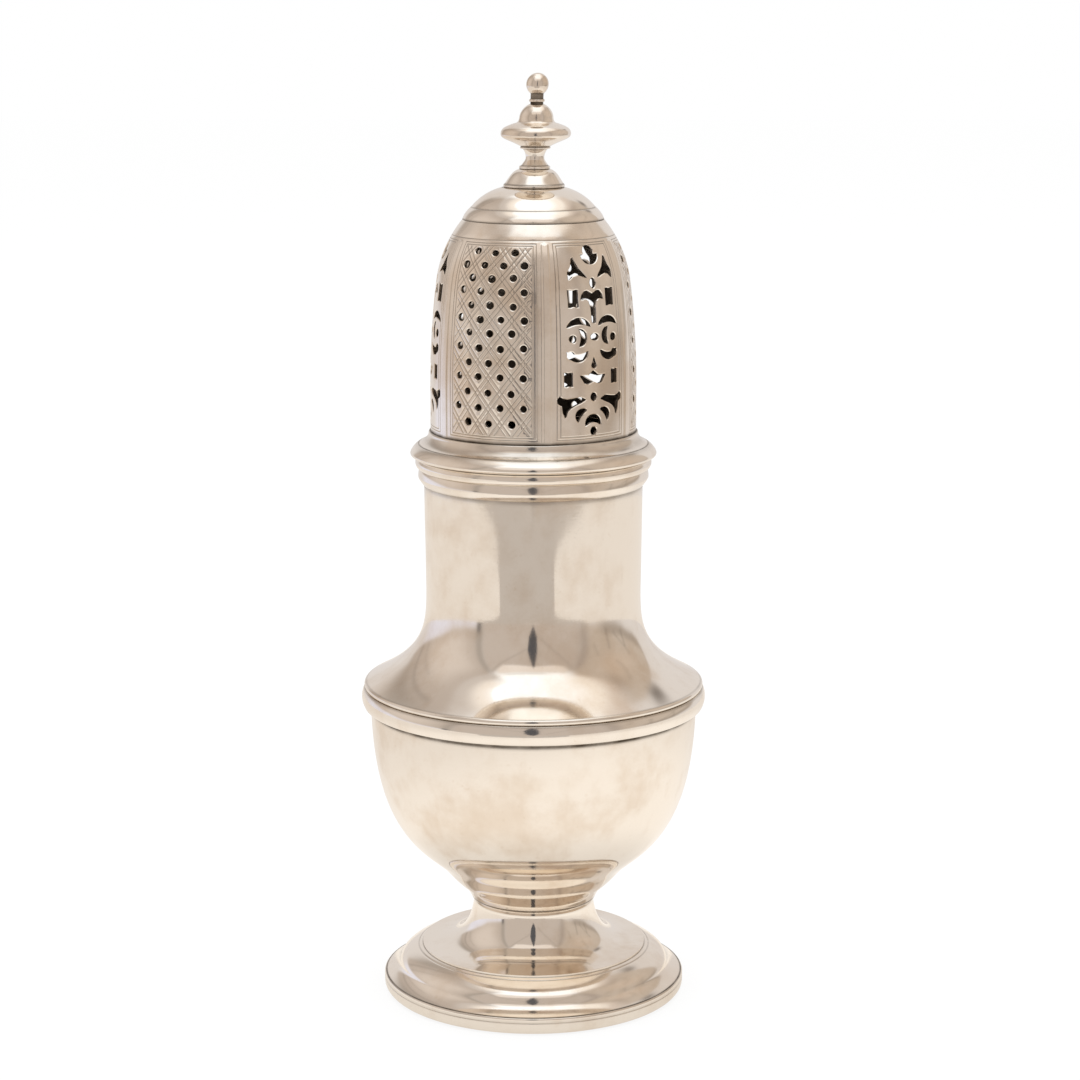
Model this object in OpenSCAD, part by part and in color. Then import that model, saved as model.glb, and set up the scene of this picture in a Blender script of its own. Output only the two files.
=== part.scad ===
// Sugar caster in silver: a baluster body on a spreading foot, and a pull-off cover
// with a pierced dome and a turned finial.
// Millimetres, +Z up. The origin is the middle of the plane that the foot stands on.

/* [Foot] */
// Diameter across the foot
foot_d = 66; // [60:0.5:72]
// Height of the wire that stiffens the edge of the foot
rim_h = 3.9; // [3.2:0.1:5]
// Width of that wire
rim_w = 2.6; // [2:0.1:4]
// Rounding of the lower outer edge of the wire
rim_round = 1.8; // [0.8:0.1:1.9]
// Depth of the crease between the wire and the border
crease = 0.4; // [0.2:0.1:0.8]
// Height of the moulded border above the wire
border_h = 6.4; // [5:0.1:8]
// Diameter of the step where the border meets the trumpet
step_d = 49; // [44:0.5:54]
// Height of that step
step_h = 0.4; // [0.2:0.1:0.8]
// Diameter of the waist of the trumpet
waist_d = 26.4; // [22:0.2:27]
// Height from the waist to the seat of the bowl
collar_h = 1.5; // [1:0.1:3]
// Diameter of the seat that carries the bowl
seat_d = 27.4; // [25:0.2:32]
// Height of the whole foot
foot_h = 21; // [19:0.5:26]
// Thickness of the metal of the foot
foot_wall = 1; // [0.8:0.1:1.4]

/* [Bowl] */
// Height of the bowl from its seat to its upper edge
bowl_h = 47.5; // [42:0.5:54]
// Diameter of the upper edge of the bowl
bowl_d = 70.8; // [66:0.2:78]
// Height of the flare between the seat and the belly
flare_h = 6.7; // [5:0.1:9]
// Diameter where the flare turns into the belly
flare_d = 39.2; // [36:0.2:44]
// Thickness of the wall of the bowl
bowl_wall = 1; // [0.8:0.1:1.4]
// Thickness of the floor of the bowl
floor_t = 1.4; // [1:0.1:2.4]

/* [Girdle] */
// Height of the girdle moulding
girdle_h = 4.1; // [3:0.1:6]
// How far the girdle stands out from the bowl
girdle_proud = 1.95; // [1.2:0.05:3]
// Swell of the rounded face of the girdle
girdle_swell = 0.6; // [0.3:0.05:1]

/* [Neck] */
// Height of the neck from the edge of the bowl to the mouth
neck_h = 50.4; // [46:0.2:58]
// Height of the lip that seats on the bowl
lip_h = 1.3; // [1:0.1:2]
// How far the lip stands out from the bowl
lip_proud = 1.4; // [0.8:0.05:1.8]
// Swell of the rounded edge of the lip
lip_swell = 0.45; // [0.2:0.05:0.6]
// Height of the hollow shoulder, from the edge of the bowl to the neck
shoulder_h = 21.5; // [18:0.5:26]
// Diameter of the neck at its narrowest
neck_d = 46.4; // [45.6:0.1:46.8]
// Diameter of the throat under the reeding
throat_d = 47; // [46:0.1:50]
// Thickness of the wall of the neck
neck_wall = 1; // [0.8:0.1:1.2]
// Diameter of the bore of the mouth
mouth_d = 44; // [42:0.1:44.4]
// Depth of that bore
mouth_h = 12; // [11:0.5:16]

/* [Reeding] */
// Height of the upper reed around the mouth
reed_h = 2.35; // [1.8:0.05:2.8]
// How far the upper reed stands out from the throat
reed_proud = 1.85; // [1.6:0.05:2.4]
// Swell of the rounded face of the upper reed
reed_swell = 0.6; // [0.3:0.05:0.7]
// Height of the tapered reed below it
taper_h = 3.65; // [3:0.05:4.5]
// How far the tapered reed stands out from the throat
taper_proud = 1.25; // [0.9:0.05:1.5]
// Height of the widest part of the tapered reed above its foot
taper_widest = 2.2; // [1.8:0.1:2.6]
// How far the head of the tapered reed lies in from its widest part
taper_head = 0.45; // [0.2:0.05:0.7]

/* [Cover base] */
// Radial play between the bezel and the mouth
bezel_play = 0.15; // [0.1:0.05:0.3]
// Depth of the bezel below the joint
bezel_h = 10; // [8:0.5:11]
// Thickness of the wall of the bezel
bezel_wall = 0.8; // [0.6:0.1:1.2]
// Bevel that leads the bezel into the mouth
bezel_lead = 0.4; // [0.2:0.1:0.6]
// Height of the rounded rim of the cover
cover_rim_h = 2.9; // [2.2:0.1:4]
// How far that rim stands out from the bezel
cover_rim_proud = 4.55; // [4.2:0.05:6]
// Swell of the rounded face of the rim
cover_rim_swell = 1.2; // [0.6:0.05:1.3]
// Height of the hollow moulding below the dome
cavetto_h = 2.8; // [2:0.1:4]
// How far the lower edge of the hollow moulding stands out from the dome
cavetto_proud = 2.6; // [2:0.1:2.9]
// Ledge that the hollow moulding leaves round the dome
cavetto_ledge = 0.4; // [0.2:0.1:0.8]

/* [Dome] */
// Diameter of the dome at its foot
dome_d = 44; // [43.8:0.1:46]
// Height of the dome
dome_h = 44.9; // [42:0.1:52]
// Thickness of the dome
dome_wall = 0.9; // [0.7:0.1:1.2]
// Radius of the slow curve of the side
side_radius = 180; // [150:5:200]
// Turn of the side before the crown begins
side_turn = 7.2; // [6:0.1:8]
// Radius of the curve of the crown
crown_radius = 25.4; // [24:0.1:28]
// Turn of the crown where it meets the cap
crown_turn = 39.5; // [36:0.5:42]
// Width of the straps that divide the panels
strap_w = 2.2; // [1.4:0.1:3]
// How far the straps stand out
strap_proud = 0.2; // [0.1:0.05:0.5]
// Clear height above the straps
strap_clear = 3.4; // [2:0.1:6]
// Angle of a lattice panel between the middles of its straps
lattice_angle = 65; // [60:0.5:68]
// Turn of the first strap from the front
first_strap = 7.4; // [-30:0.1:30]

/* [Piercing] */
// Diameter of a lattice hole
hole_d = 1.55; // [1.2:0.05:1.9]
// Rows of holes in a lattice panel
hole_rows = 13; // [9:2:13]
// Holes in a wide row
hole_columns = 4; // [3:1:4]
// Angle between neighbouring holes of a row
hole_spacing = 13.2; // [11:0.1:14]
// Height of the lowest row above the foot of the dome
lowest_row = 4.2; // [3:0.1:6]
// Depth of the highest row below the top of the dome
highest_row = 5.4; // [4.5:0.1:8]
// How much each step between rows is less than the step below it
row_taper = 0.06; // [0:0.01:0.08]

/* [Cap] */
// Height of the moulded band round the cap
cap_band_h = 2.6; // [1.8:0.1:3.4]
// How far the top of that band lies in from its foot
cap_band_slope = 1.85; // [1.4:0.05:2.4]
// Width of the band
cap_band_w = 1.9; // [1.3:0.1:2.4]
// Height of the cap above its band
cap_h = 4.1; // [3.4:0.1:6]
// Thickness of the cap
cap_wall = 0.9; // [0.7:0.1:1.2]

/* [Finial] */
// Diameter of the plinth under the finial
plinth_d = 13; // [11:0.1:15]
// Height of the plinth
plinth_h = 0.7; // [0.5:0.1:1.2]
// Height of the pedestal from plinth to finial
pedestal_h = 4.5; // [4:0.1:6]
// Diameter of the ring on top of the pedestal
ring_d = 6.6; // [6.2:0.1:8]
// Height of that ring
ring_h = 0.7; // [0.5:0.1:1]
// Diameter of the finial where it stands on the ring
baluster_d = 5.8; // [5:0.1:6]
// Diameter of the slender neck of the finial
baluster_neck_d = 3.9; // [3.4:0.1:4.4]
// Height of that neck above the ring
baluster_neck_z = 1.8; // [1.4:0.1:2.4]
// Height of the fillet below the disc above the ring
fillet_z = 3.55; // [3.2:0.05:4]
// Diameter of that fillet
fillet_d = 6.4; // [5.8:0.1:7]
// Height of that fillet
fillet_h = 0.45; // [0.3:0.05:0.7]
// Diameter of the disc
disc_d = 14.8; // [12:0.1:17]
// Height of the rounded disc from the fillet to its edge
disc_under_h = 2.65; // [2:0.05:3.4]
// Height of the rounded disc from its edge to the bell
disc_over_h = 2.25; // [1.6:0.05:3]
// Diameter of the foot of the bell
bell_d = 7.4; // [6.6:0.1:8.4]
// Height of the bell
bell_h = 3.9; // [3:0.1:5]
// Diameter of the top of the bell
bell_top_d = 3; // [2.8:0.1:3.4]
// Diameter of the groove on either side of the bead
groove_d = 2.7; // [2:0.1:2.8]
// Height of the groove below the bead
groove_h = 0.45; // [0.3:0.05:0.9]
// Height of the groove above the bead
upper_groove_h = 1.15; // [0.8:0.05:1.6]
// Diameter of the bead
bead_d = 3.3; // [3:0.1:3.8]
// Height of the bead
bead_h = 0.6; // [0.5:0.1:1.2]
// Diameter of the ball
ball_d = 4.7; // [4:0.1:6]
// Diameter of the peg that holds the finial
peg_d = 2.4; // [1.8:0.1:3]
// Play round the peg
peg_play = 0.1; // [0.05:0.05:0.2]
// Diameter of the riveted head of the peg
rivet_d = 4.6; // [4:0.1:6]
// Height of that head
rivet_h = 0.8; // [0.5:0.1:1.2]

/* [Hidden] */
$fa = 4;
$fs = 0.4;
silver = [0.82, 0.79, 0.74];
silver_worn = [0.76, 0.73, 0.68];

// Heights of the joints, from the table up
border_z = rim_h + border_h;
bowl_z = foot_h;
girdle_top_z = bowl_z + bowl_h;
girdle_z = girdle_top_z - girdle_h;
joint_z = girdle_top_z + neck_h;
cavetto_z = joint_z + cover_rim_h;
dome_z = cavetto_z + cavetto_h;
cap_band_z = dome_z + dome_h;
cap_z = cap_band_z + cap_band_h;
pedestal_z = cap_z + cap_h;
finial_z = pedestal_z + pedestal_h;

// Radii that two pieces share
foot_r = foot_d / 2;
step_r = step_d / 2;
seat_r = seat_d / 2;
bowl_r = bowl_d / 2;
lip_r = bowl_r + lip_proud;
throat_r = throat_d / 2;
mouth_r = mouth_d / 2;
bezel_r = mouth_r - bezel_play;
dome_r = dome_d / 2;
plinth_r = plinth_d / 2;
peg_r = peg_d / 2;
peg_hole_r = peg_r + peg_play;

// Height of the reeding
reeding_h = reed_h + taper_h;

// The dome rises straight, then follows the side curve, then the crown curve
side_h = side_radius * sin(side_turn);
crown_h = crown_radius * (sin(crown_turn) - sin(side_turn));
straight_h = dome_h - side_h - crown_h;
side_centre = [dome_r - side_radius, straight_h];
crown_centre = side_centre + (side_radius - crown_radius) * [cos(side_turn), sin(side_turn)];
dome_top_r = crown_centre.x + crown_radius * cos(crown_turn);
cap_r = dome_top_r - cap_band_slope;

// The scrollwork is drawn for a panel of this height and dome of this diameter
drawn_h = 44.9;
drawn_d = 44;
scroll_scale = min(dome_h / drawn_h, dome_d / drawn_d);

// Pairs of panels, one lattice and one scrolled in each
panel_pairs = 3;
pair_angle = 360 / panel_pairs;
scroll_angle = pair_angle - lattice_angle;
front = -90;

// Larger than any piece, for half planes that trim an outline
beyond = 2 * (foot_d + bowl_d);

// A smooth curve from a to b. Lead and tail are its handles, as shares of the span.
function sweep(a, b, lead, tail, n = 14) =
    let (
        d = b - a,
        p = a + [lead.x * d.x, lead.y * d.y],
        q = b - [tail.x * d.x, tail.y * d.y]
    )
    [for (i = [0:n]) let (t = i / n, s = 1 - t)
        s * s * s * a + 3 * s * s * t * p + 3 * s * t * t * q + t * t * t * b];

// The same path moved to its left by t, square to its own direction
function inset(path, t) =
    let (last = len(path) - 1)
    [for (i = [0:last])
        let (d = path[min(i + 1, last)] - path[max(i - 1, 0)])
        path[i] + t / norm(d) * [-d.y, d.x]];

function reversed(path) = [for (i = [len(path) - 1:-1:0]) path[i]];

// Radius of the circle that rises by s over a chord of half length w
function rise_radius(w, s) = (w * w + s * s) / (2 * s);

// Turn of the dome's surface from upright at a height v above its foot
function dome_turn(v) =
    v <= straight_h ? 0 :
    v <= straight_h + side_h ? asin((v - straight_h) / side_radius) :
    asin((v - crown_centre.y) / crown_radius);

// Radius of the dome's surface at that height
function dome_radius(v) =
    v <= straight_h ? dome_r :
    v <= straight_h + side_h ? side_centre.x + side_radius * cos(dome_turn(v)) :
    crown_centre.x + crown_radius * cos(dome_turn(v));

// Outline of sheet metal of thickness t on the left of a path
module sheet(path, t) {
    polygon(concat(path, reversed(inset(path, t))));
}

// Everything to the right of the axis and above z
module above(z) {
    translate([0, z])
        square(beyond);
}

// Outline of a ring with a rounded outer face
module rounded_band(r_in, r_out, h, swell) {
    round_r = rise_radius(h / 2, swell);
    translate([r_in, 0])
        square([r_out - swell - r_in, h]);
    intersection() {
        translate([r_out - swell, 0])
            square([swell, h]);
        translate([r_out - round_r, h / 2])
            circle(round_r);
    }
}

// Region inside the dome's surface, drawn in from it by t
module dome_region(t) {
    square([dome_r - t, straight_h]);
    intersection() {
        translate(side_centre)
            circle(side_radius - t, $fa = 0.5);
        translate([0, straight_h])
            square([beyond, side_h]);
    }
    intersection() {
        translate(crown_centre)
            circle(crown_radius - t, $fa = 1);
        translate([0, straight_h + side_h])
            square([beyond, crown_h]);
    }
}

// Crescent between two arcs that share their tips
module crescent(half_w, outer_rise, inner_rise) {
    outer_r = rise_radius(half_w, outer_rise);
    inner_r = rise_radius(half_w, inner_rise);
    difference() {
        translate([0, outer_rise - outer_r])
            circle(outer_r);
        translate([0, inner_rise - inner_r])
            circle(inner_r);
    }
}

// Leaf between two arcs that share their tips
module leaf(half_l, upper_rise, lower_rise) {
    upper_r = rise_radius(half_l, upper_rise);
    lower_r = rise_radius(half_l, lower_rise);
    intersection() {
        translate([0, upper_rise - upper_r])
            circle(upper_r);
        translate([0, lower_r - lower_rise])
            circle(lower_r);
    }
}

// Drop with a round foot and a pointed head
module drop(r, l) {
    touch = acos(r / l);
    circle(r);
    polygon([r * [sin(touch), cos(touch)], [0, l], r * [-sin(touch), cos(touch)]]);
}

// Slot with hollow ends
module hollow_slot(w, h) {
    hollow = w / 6;
    hollow_r = rise_radius(w / 2, hollow);
    difference() {
        square([w, h], center = true);
        for (side = [-1, 1])
            translate([0, side * (h / 2 - hollow + hollow_r)])
                circle(hollow_r);
    }
}

module on_both_sides() {
    children();
    mirror([1, 0])
        children();
}

// Openings on the middle line of a scrolled panel, from the foot of the dome up
module middle_scrollwork() {
    translate([0, 2.4])
        rotate(90)
            leaf(0.8, 0.65, 0.65);
    translate([0, 3.6])
        crescent(1.8, 2.2, 0.7);
    translate([0, 9.65])
        rotate(90)
            leaf(0.8, 0.62, 0.62);
    translate([0, 16.1])
        drop(0.5, 1.8);
    translate([0, 22.1])
        leaf(0.95, 0.55, 0.75);
    translate([0, 33.05])
        rotate(90)
            leaf(1, 0.6, 0.6);
    translate([0, 38.8])
        rotate(180)
            crescent(2.1, 1.9, 0.2);
    translate([0, 39.4])
        circle(1.15);
}

// Openings on one side of a scrolled panel. The first two meet their mirror images.
module side_scrollwork() {
    bat_wing = [[0, 13], [1.4, 12.45], [2.2, 12.7], [3.1, 14.15], [1.2, 14.1], [0, 15.05]];
    stem_and_lobe = [
        [0, 25.05], [0.3, 25.05], [0.45, 28.2], [0.9, 29.6], [1.5, 30], [2.2, 30.1], [2.8, 29.8],
        [2.5, 30.8], [1.9, 31.5], [1.3, 31.6], [0.6, 31.2], [0, 30.9]
    ];
    branch = [
        [2, 9.1], [3.1, 8.55], [4.3, 8.1], [5.4, 7.5], [6.1, 6.8], [6.45, 5.55], [6.95, 6.6], [7.1, 8],
        [8, 8.6], [8.1, 9.4], [7.7, 9.9], [7.1, 9.5], [6.2, 9.25], [4.8, 9.4], [3.3, 9.65]
    ];
    arrowhead = [
        [1.5, 34.3], [2.6, 34.75], [3.7, 35.05], [4.7, 34.8], [5.6, 34], [5.55, 35.5], [4.8, 36.5],
        [4.4, 37.5], [4.1, 38.5], [3.7, 37.4], [3.1, 36.1], [2.2, 35.1]
    ];
    for (shape = [bat_wing, stem_and_lobe, branch, arrowhead])
        polygon(shape);
    translate([2.7, 5.7])
        rotate(-51)
            crescent(1.5, 1.5, 0.3);
    translate([5.8, 13.5])
        hollow_slot(1.55, 3.1);
    translate([3.95, 19.2])
        rotate(180)
            crescent(2.35, 2.1, 0.75);
    translate([5.6, 18.4])
        circle(0.75);
    translate([5.2, 21.75])
        circle(0.7);
    translate([3.75, 22.1])
        rotate(90)
            crescent(1.75, 1.65, 0.45);
    translate([3.75, 24.3])
        crescent(2.65, 1.85, 0.65);
    translate([4.65, 30.1])
        hollow_slot(2, 3.8);
}

// Scrolled panel as a cutter that passes square through the wall of the dome
module scroll_cutter() {
    near_axis = dome_top_r / 2;
    rotate([90, 0, 90])
        translate([0, 0, near_axis])
            linear_extrude(dome_r)
                scale(scroll_scale) {
                    middle_scrollwork();
                    on_both_sides()
                        side_scrollwork();
                }
}

// Lattice panel: wide and narrow rows of holes drilled square to the surface
module lattice_cutter() {
    steps = hole_rows - 1;
    span = dome_h - highest_row - lowest_row;
    first_step = (span + row_taper * steps * (steps - 1) / 2) / steps;
    for (row = [0:steps]) {
        v = lowest_row + row * first_step - row_taper * row * (row - 1) / 2;
        holes = row % 2 == 0 ? hole_columns - 1 : hole_columns;
        for (i = [0:holes - 1])
            rotate((i - (holes - 1) / 2) * hole_spacing)
                translate([dome_radius(v), 0, v])
                    rotate([0, 90 - dome_turn(v), 0])
                        cylinder(h = 4 * dome_wall, d = hole_d, center = true, $fn = 24);
    }
}

module strap() {
    strap_angle = 2 * asin(strap_w / dome_d);
    rotate(-strap_angle / 2)
        rotate_extrude(angle = strap_angle)
            intersection() {
                difference() {
                    dome_region(-strap_proud);
                    dome_region(dome_wall / 2);
                }
                square([beyond, dome_h - strap_clear]);
            }
}

module foot_rim_wire() {
    color(silver_worn)
        rotate_extrude()
            difference() {
                translate([foot_r - rim_w, 0])
                    square([rim_w, rim_h]);
                difference() {
                    translate([foot_r - rim_round, 0])
                        square(rim_round);
                    translate([foot_r - rim_round, rim_round])
                        circle(rim_round);
                }
            }
}

module foot_border() {
    edge = [foot_r - crease, rim_h];
    ogee = sweep(edge, [step_r, border_z], [0.24, 0.08], [0.55, 0.22]);
    color(silver)
        rotate_extrude()
            intersection() {
                sheet(ogee, foot_wall);
                above(rim_h);
                translate([step_r, 0])
                    square(beyond);
            }
}

module foot_trumpet() {
    edge = [step_r, border_z + step_h];
    waist = [waist_d / 2, foot_h - collar_h];
    seat = [seat_r, foot_h];
    bell_mouth = sweep(edge, waist, [0.41, 0], [0.1, 0.95], 24);
    collar = sweep(waist, seat, [0, 0.4], [0.5, 0.3], 4);
    color(silver)
        rotate_extrude()
            intersection() {
                sheet(concat(bell_mouth, [for (i = [1:len(collar) - 1]) collar[i]]), foot_wall);
                square([step_r, foot_h]);
            }
}

module bowl() {
    belly_start = [flare_d / 2, bowl_z + flare_h];
    flare = sweep([seat_r, bowl_z], belly_start, [0.27, 0.48], [0.76, 0.79], 8);
    belly = sweep(belly_start, [bowl_r, girdle_z], [0.27, 0.13], [0.03, 0.8], 20);
    color(silver)
        rotate_extrude()
            intersection() {
                union() {
                    sheet(concat(flare, [for (i = [1:len(belly) - 1]) belly[i]]), bowl_wall);
                    translate([0, bowl_z])
                        square([seat_r, floor_t]);
                    translate([bowl_r - bowl_wall, girdle_z - bowl_wall / 2])
                        square([bowl_wall, girdle_h + bowl_wall / 2]);
                }
                above(bowl_z);
                square([bowl_r, girdle_top_z]);
            }
}

module girdle_moulding() {
    color(silver_worn)
        translate([0, 0, girdle_z])
            rotate_extrude()
                rounded_band(bowl_r, bowl_r + girdle_proud, girdle_h, girdle_swell);
}

module neck_shell() {
    shoulder_edge = [lip_r - lip_swell, girdle_top_z + lip_h];
    neck_start = [neck_d / 2, girdle_top_z + shoulder_h];
    reeding_foot = [throat_r, joint_z - reeding_h];
    shoulder = sweep(shoulder_edge, neck_start, [0.95, 0.31], [0, 0.44], 20);
    color(silver)
        rotate_extrude()
            union() {
                intersection() {
                    sheet(concat(shoulder, [reeding_foot, [throat_r, joint_z]]), neck_wall);
                    above(girdle_top_z);
                }
                translate([0, girdle_top_z])
                    rounded_band(bowl_r - bowl_wall, lip_r, lip_h, lip_swell);
                translate([mouth_r, joint_z - mouth_h])
                    square([throat_r - mouth_r, mouth_h]);
            }
}

module neck_reeding() {
    reed_z = joint_z - reed_h;
    widest = [throat_r + taper_proud, joint_z - reeding_h + taper_widest];
    under = sweep([throat_r, joint_z - reeding_h], widest, [0.16, 0], [0, 0.15], 8);
    over = sweep(widest, [widest.x - taper_head, reed_z], [0, 0.5], [0.6, 0.1], 8);
    color(silver_worn)
        rotate_extrude() {
            polygon(concat(under, over, [[throat_r, reed_z]]));
            translate([0, reed_z])
                rounded_band(throat_r, throat_r + reed_proud, reed_h, reed_swell);
        }
}

module cover_bezel() {
    foot_z = joint_z - bezel_h;
    inner_r = bezel_r - bezel_wall;
    color(silver)
        rotate_extrude()
            polygon([
                [inner_r, foot_z], [bezel_r - bezel_lead, foot_z], [bezel_r, foot_z + bezel_lead],
                [bezel_r, dome_z], [inner_r, dome_z]
            ]);
}

module cover_rim_moulding() {
    color(silver_worn)
        translate([0, 0, joint_z])
            rotate_extrude()
                rounded_band(bezel_r, bezel_r + cover_rim_proud, cover_rim_h, cover_rim_swell);
}

module cover_cavetto() {
    hollow = sweep([dome_r + cavetto_proud, cavetto_z], [dome_r + cavetto_ledge, dome_z],
        [0.55, 0.2], [0, 0.5], 10);
    color(silver)
        rotate_extrude()
            polygon(concat([[bezel_r, cavetto_z]], hollow, [[bezel_r, dome_z]]));
}

module pierced_dome() {
    color(silver_worn)
        translate([0, 0, dome_z])
            rotate(front + first_strap)
                difference() {
                    union() {
                        rotate_extrude()
                            difference() {
                                dome_region(0);
                                dome_region(dome_wall);
                            }
                        for (pair = [0:panel_pairs - 1], side = [0, scroll_angle])
                            rotate(pair * pair_angle + side)
                                strap();
                    }
                    for (pair = [0:panel_pairs - 1])
                        rotate(pair * pair_angle) {
                            rotate(scroll_angle / 2)
                                scroll_cutter();
                            rotate(-lattice_angle / 2)
                                lattice_cutter();
                        }
                }
}

module cap_band() {
    face = sweep([dome_top_r, cap_band_z], [cap_r, cap_z], [0.1, 0.35], [0.45, 0.25], 8);
    color(silver)
        rotate_extrude()
            polygon(concat(
                face,
                [[cap_r - cap_band_w + cap_band_slope / 2, cap_z], [dome_top_r - cap_band_w, cap_band_z]]
            ));
}

module cap_dome() {
    face = sweep([cap_r, cap_z], [plinth_r, pedestal_z], [0.25, 0.5], [0.39, 0.14]);
    color(silver)
        rotate_extrude()
            difference() {
                intersection() {
                    union() {
                        sheet(face, cap_wall);
                        translate([0, pedestal_z - cap_wall])
                            square([plinth_r, cap_wall]);
                    }
                    above(cap_z);
                }
                square([peg_hole_r, beyond]);
            }
}

module finial_pedestal() {
    ring_r = ring_d / 2;
    plinth_top = [plinth_r - plinth_h / 3, pedestal_z + plinth_h];
    ring_z = finial_z - ring_h;
    side = sweep(plinth_top, [ring_r, ring_z], [0.35, 0.45], [0.51, 0.17], 10);
    color(silver_worn)
        rotate_extrude() {
            translate([0, pedestal_z])
                rounded_band(peg_hole_r, plinth_r, plinth_h, plinth_h / 3);
            polygon(concat([[peg_hole_r, pedestal_z + plinth_h]], side, [[peg_hole_r, ring_z]]));
            translate([0, ring_z])
                rounded_band(peg_hole_r, ring_r, ring_h, ring_h / 3);
        }
}

module finial() {
    neck = [baluster_neck_d / 2, finial_z + baluster_neck_z];
    fillet_r = fillet_d / 2;
    fillet_swell = fillet_h / 3;
    fillet_foot_z = finial_z + fillet_z;
    fillet_top_z = fillet_foot_z + fillet_h;
    disc_edge = [disc_d / 2, fillet_top_z + disc_under_h];
    bell_z = disc_edge.y + disc_over_h;
    bell_top_z = bell_z + bell_h;
    bead_z = bell_top_z + groove_h;
    ball_foot_z = bead_z + bead_h + upper_groove_h;
    ball_sink = ball_d / 2 - sqrt(ball_d * ball_d - groove_d * groove_d) / 2;
    ball_z = ball_foot_z - ball_sink + ball_d / 2;
    rivet_z = pedestal_z - cap_wall - rivet_h;
    stem = sweep([baluster_d / 2, finial_z], neck, [0.9, 0.7], [0, 0.33], 8);
    throat = sweep(neck, [fillet_r - fillet_h, fillet_foot_z], [0, 0.45], [0.34, 0.05], 8);
    under_disc = sweep([fillet_r - fillet_swell, fillet_top_z], disc_edge, [0.58, 0.54], [0, 0.43], 10);
    over_disc = sweep(disc_edge, [bell_d / 2, bell_z], [0, 0.61], [0.34, 0.17], 10);
    bell = sweep([bell_d / 2, bell_z], [bell_top_d / 2, bell_top_z], [0, 0.5], [0.45, 0.12], 10);
    color(silver)
        rotate_extrude() {
            polygon(concat([[0, finial_z]], stem, throat, [[0, fillet_foot_z]]));
            translate([0, fillet_foot_z])
                rounded_band(0, fillet_r, fillet_h, fillet_swell);
            polygon(concat([[0, fillet_top_z]], under_disc, over_disc, bell, [[0, bell_top_z]]));
            translate([0, bell_top_z])
                square([groove_d / 2, ball_foot_z - bell_top_z]);
            translate([0, bead_z])
                rounded_band(0, bead_d / 2, bead_h, bead_h / 3);
            intersection() {
                translate([0, ball_z])
                    circle(ball_d / 2);
                above(ball_foot_z);
            }
            translate([0, rivet_z])
                square([peg_r, finial_z - rivet_z]);
            translate([0, rivet_z])
                square([rivet_d / 2, rivet_h]);
        }
}

foot_rim_wire();
foot_border();
foot_trumpet();
bowl();
girdle_moulding();
neck_shell();
neck_reeding();
cover_bezel();
cover_rim_moulding();
cover_cavetto();
pierced_dome();
cap_band();
cap_dome();
finial_pedestal();
finial();
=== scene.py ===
"""Silver sugar caster: turned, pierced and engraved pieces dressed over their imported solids.

Every shape is worked out in millimetres as whole arrays, then put into its mesh in metres.
"""

import math

import bpy
import numpy as np
from bpy.props import FloatProperty, FloatVectorProperty, IntProperty, PointerProperty
from mathutils.geometry import delaunay_2d_cdt
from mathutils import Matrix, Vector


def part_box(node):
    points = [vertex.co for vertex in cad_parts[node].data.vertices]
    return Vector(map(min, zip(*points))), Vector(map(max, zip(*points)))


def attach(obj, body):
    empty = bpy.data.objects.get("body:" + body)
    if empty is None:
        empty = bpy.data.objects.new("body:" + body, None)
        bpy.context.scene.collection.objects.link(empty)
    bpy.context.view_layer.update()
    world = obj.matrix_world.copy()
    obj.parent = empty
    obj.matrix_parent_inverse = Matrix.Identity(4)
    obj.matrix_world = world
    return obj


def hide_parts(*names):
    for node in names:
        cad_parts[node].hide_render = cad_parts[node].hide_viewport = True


bl_info = {
    "name": "Silver sugar caster",
    "version": (1, 0, 0),
    "blender": (4, 5, 0),
    "location": "View3D > Sidebar > Caster",
    "description": "Turned, pierced and engraved silver for a sugar caster, and its light tent",
    "category": "Add Mesh",
}

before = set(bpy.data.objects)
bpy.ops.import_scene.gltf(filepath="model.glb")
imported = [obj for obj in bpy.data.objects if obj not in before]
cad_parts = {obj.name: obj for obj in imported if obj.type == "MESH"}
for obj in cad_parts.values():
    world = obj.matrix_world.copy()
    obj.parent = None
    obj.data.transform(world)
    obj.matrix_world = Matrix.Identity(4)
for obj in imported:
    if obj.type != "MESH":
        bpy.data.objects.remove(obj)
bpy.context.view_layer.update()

MM = 0.001
TINY = 1e-6


def span(node):
    """Foot height, head height and widest radius of a solid of the frame, in millimetres."""
    low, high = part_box(node)
    return low.z / MM, high.z / MM, high.x / MM


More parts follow.
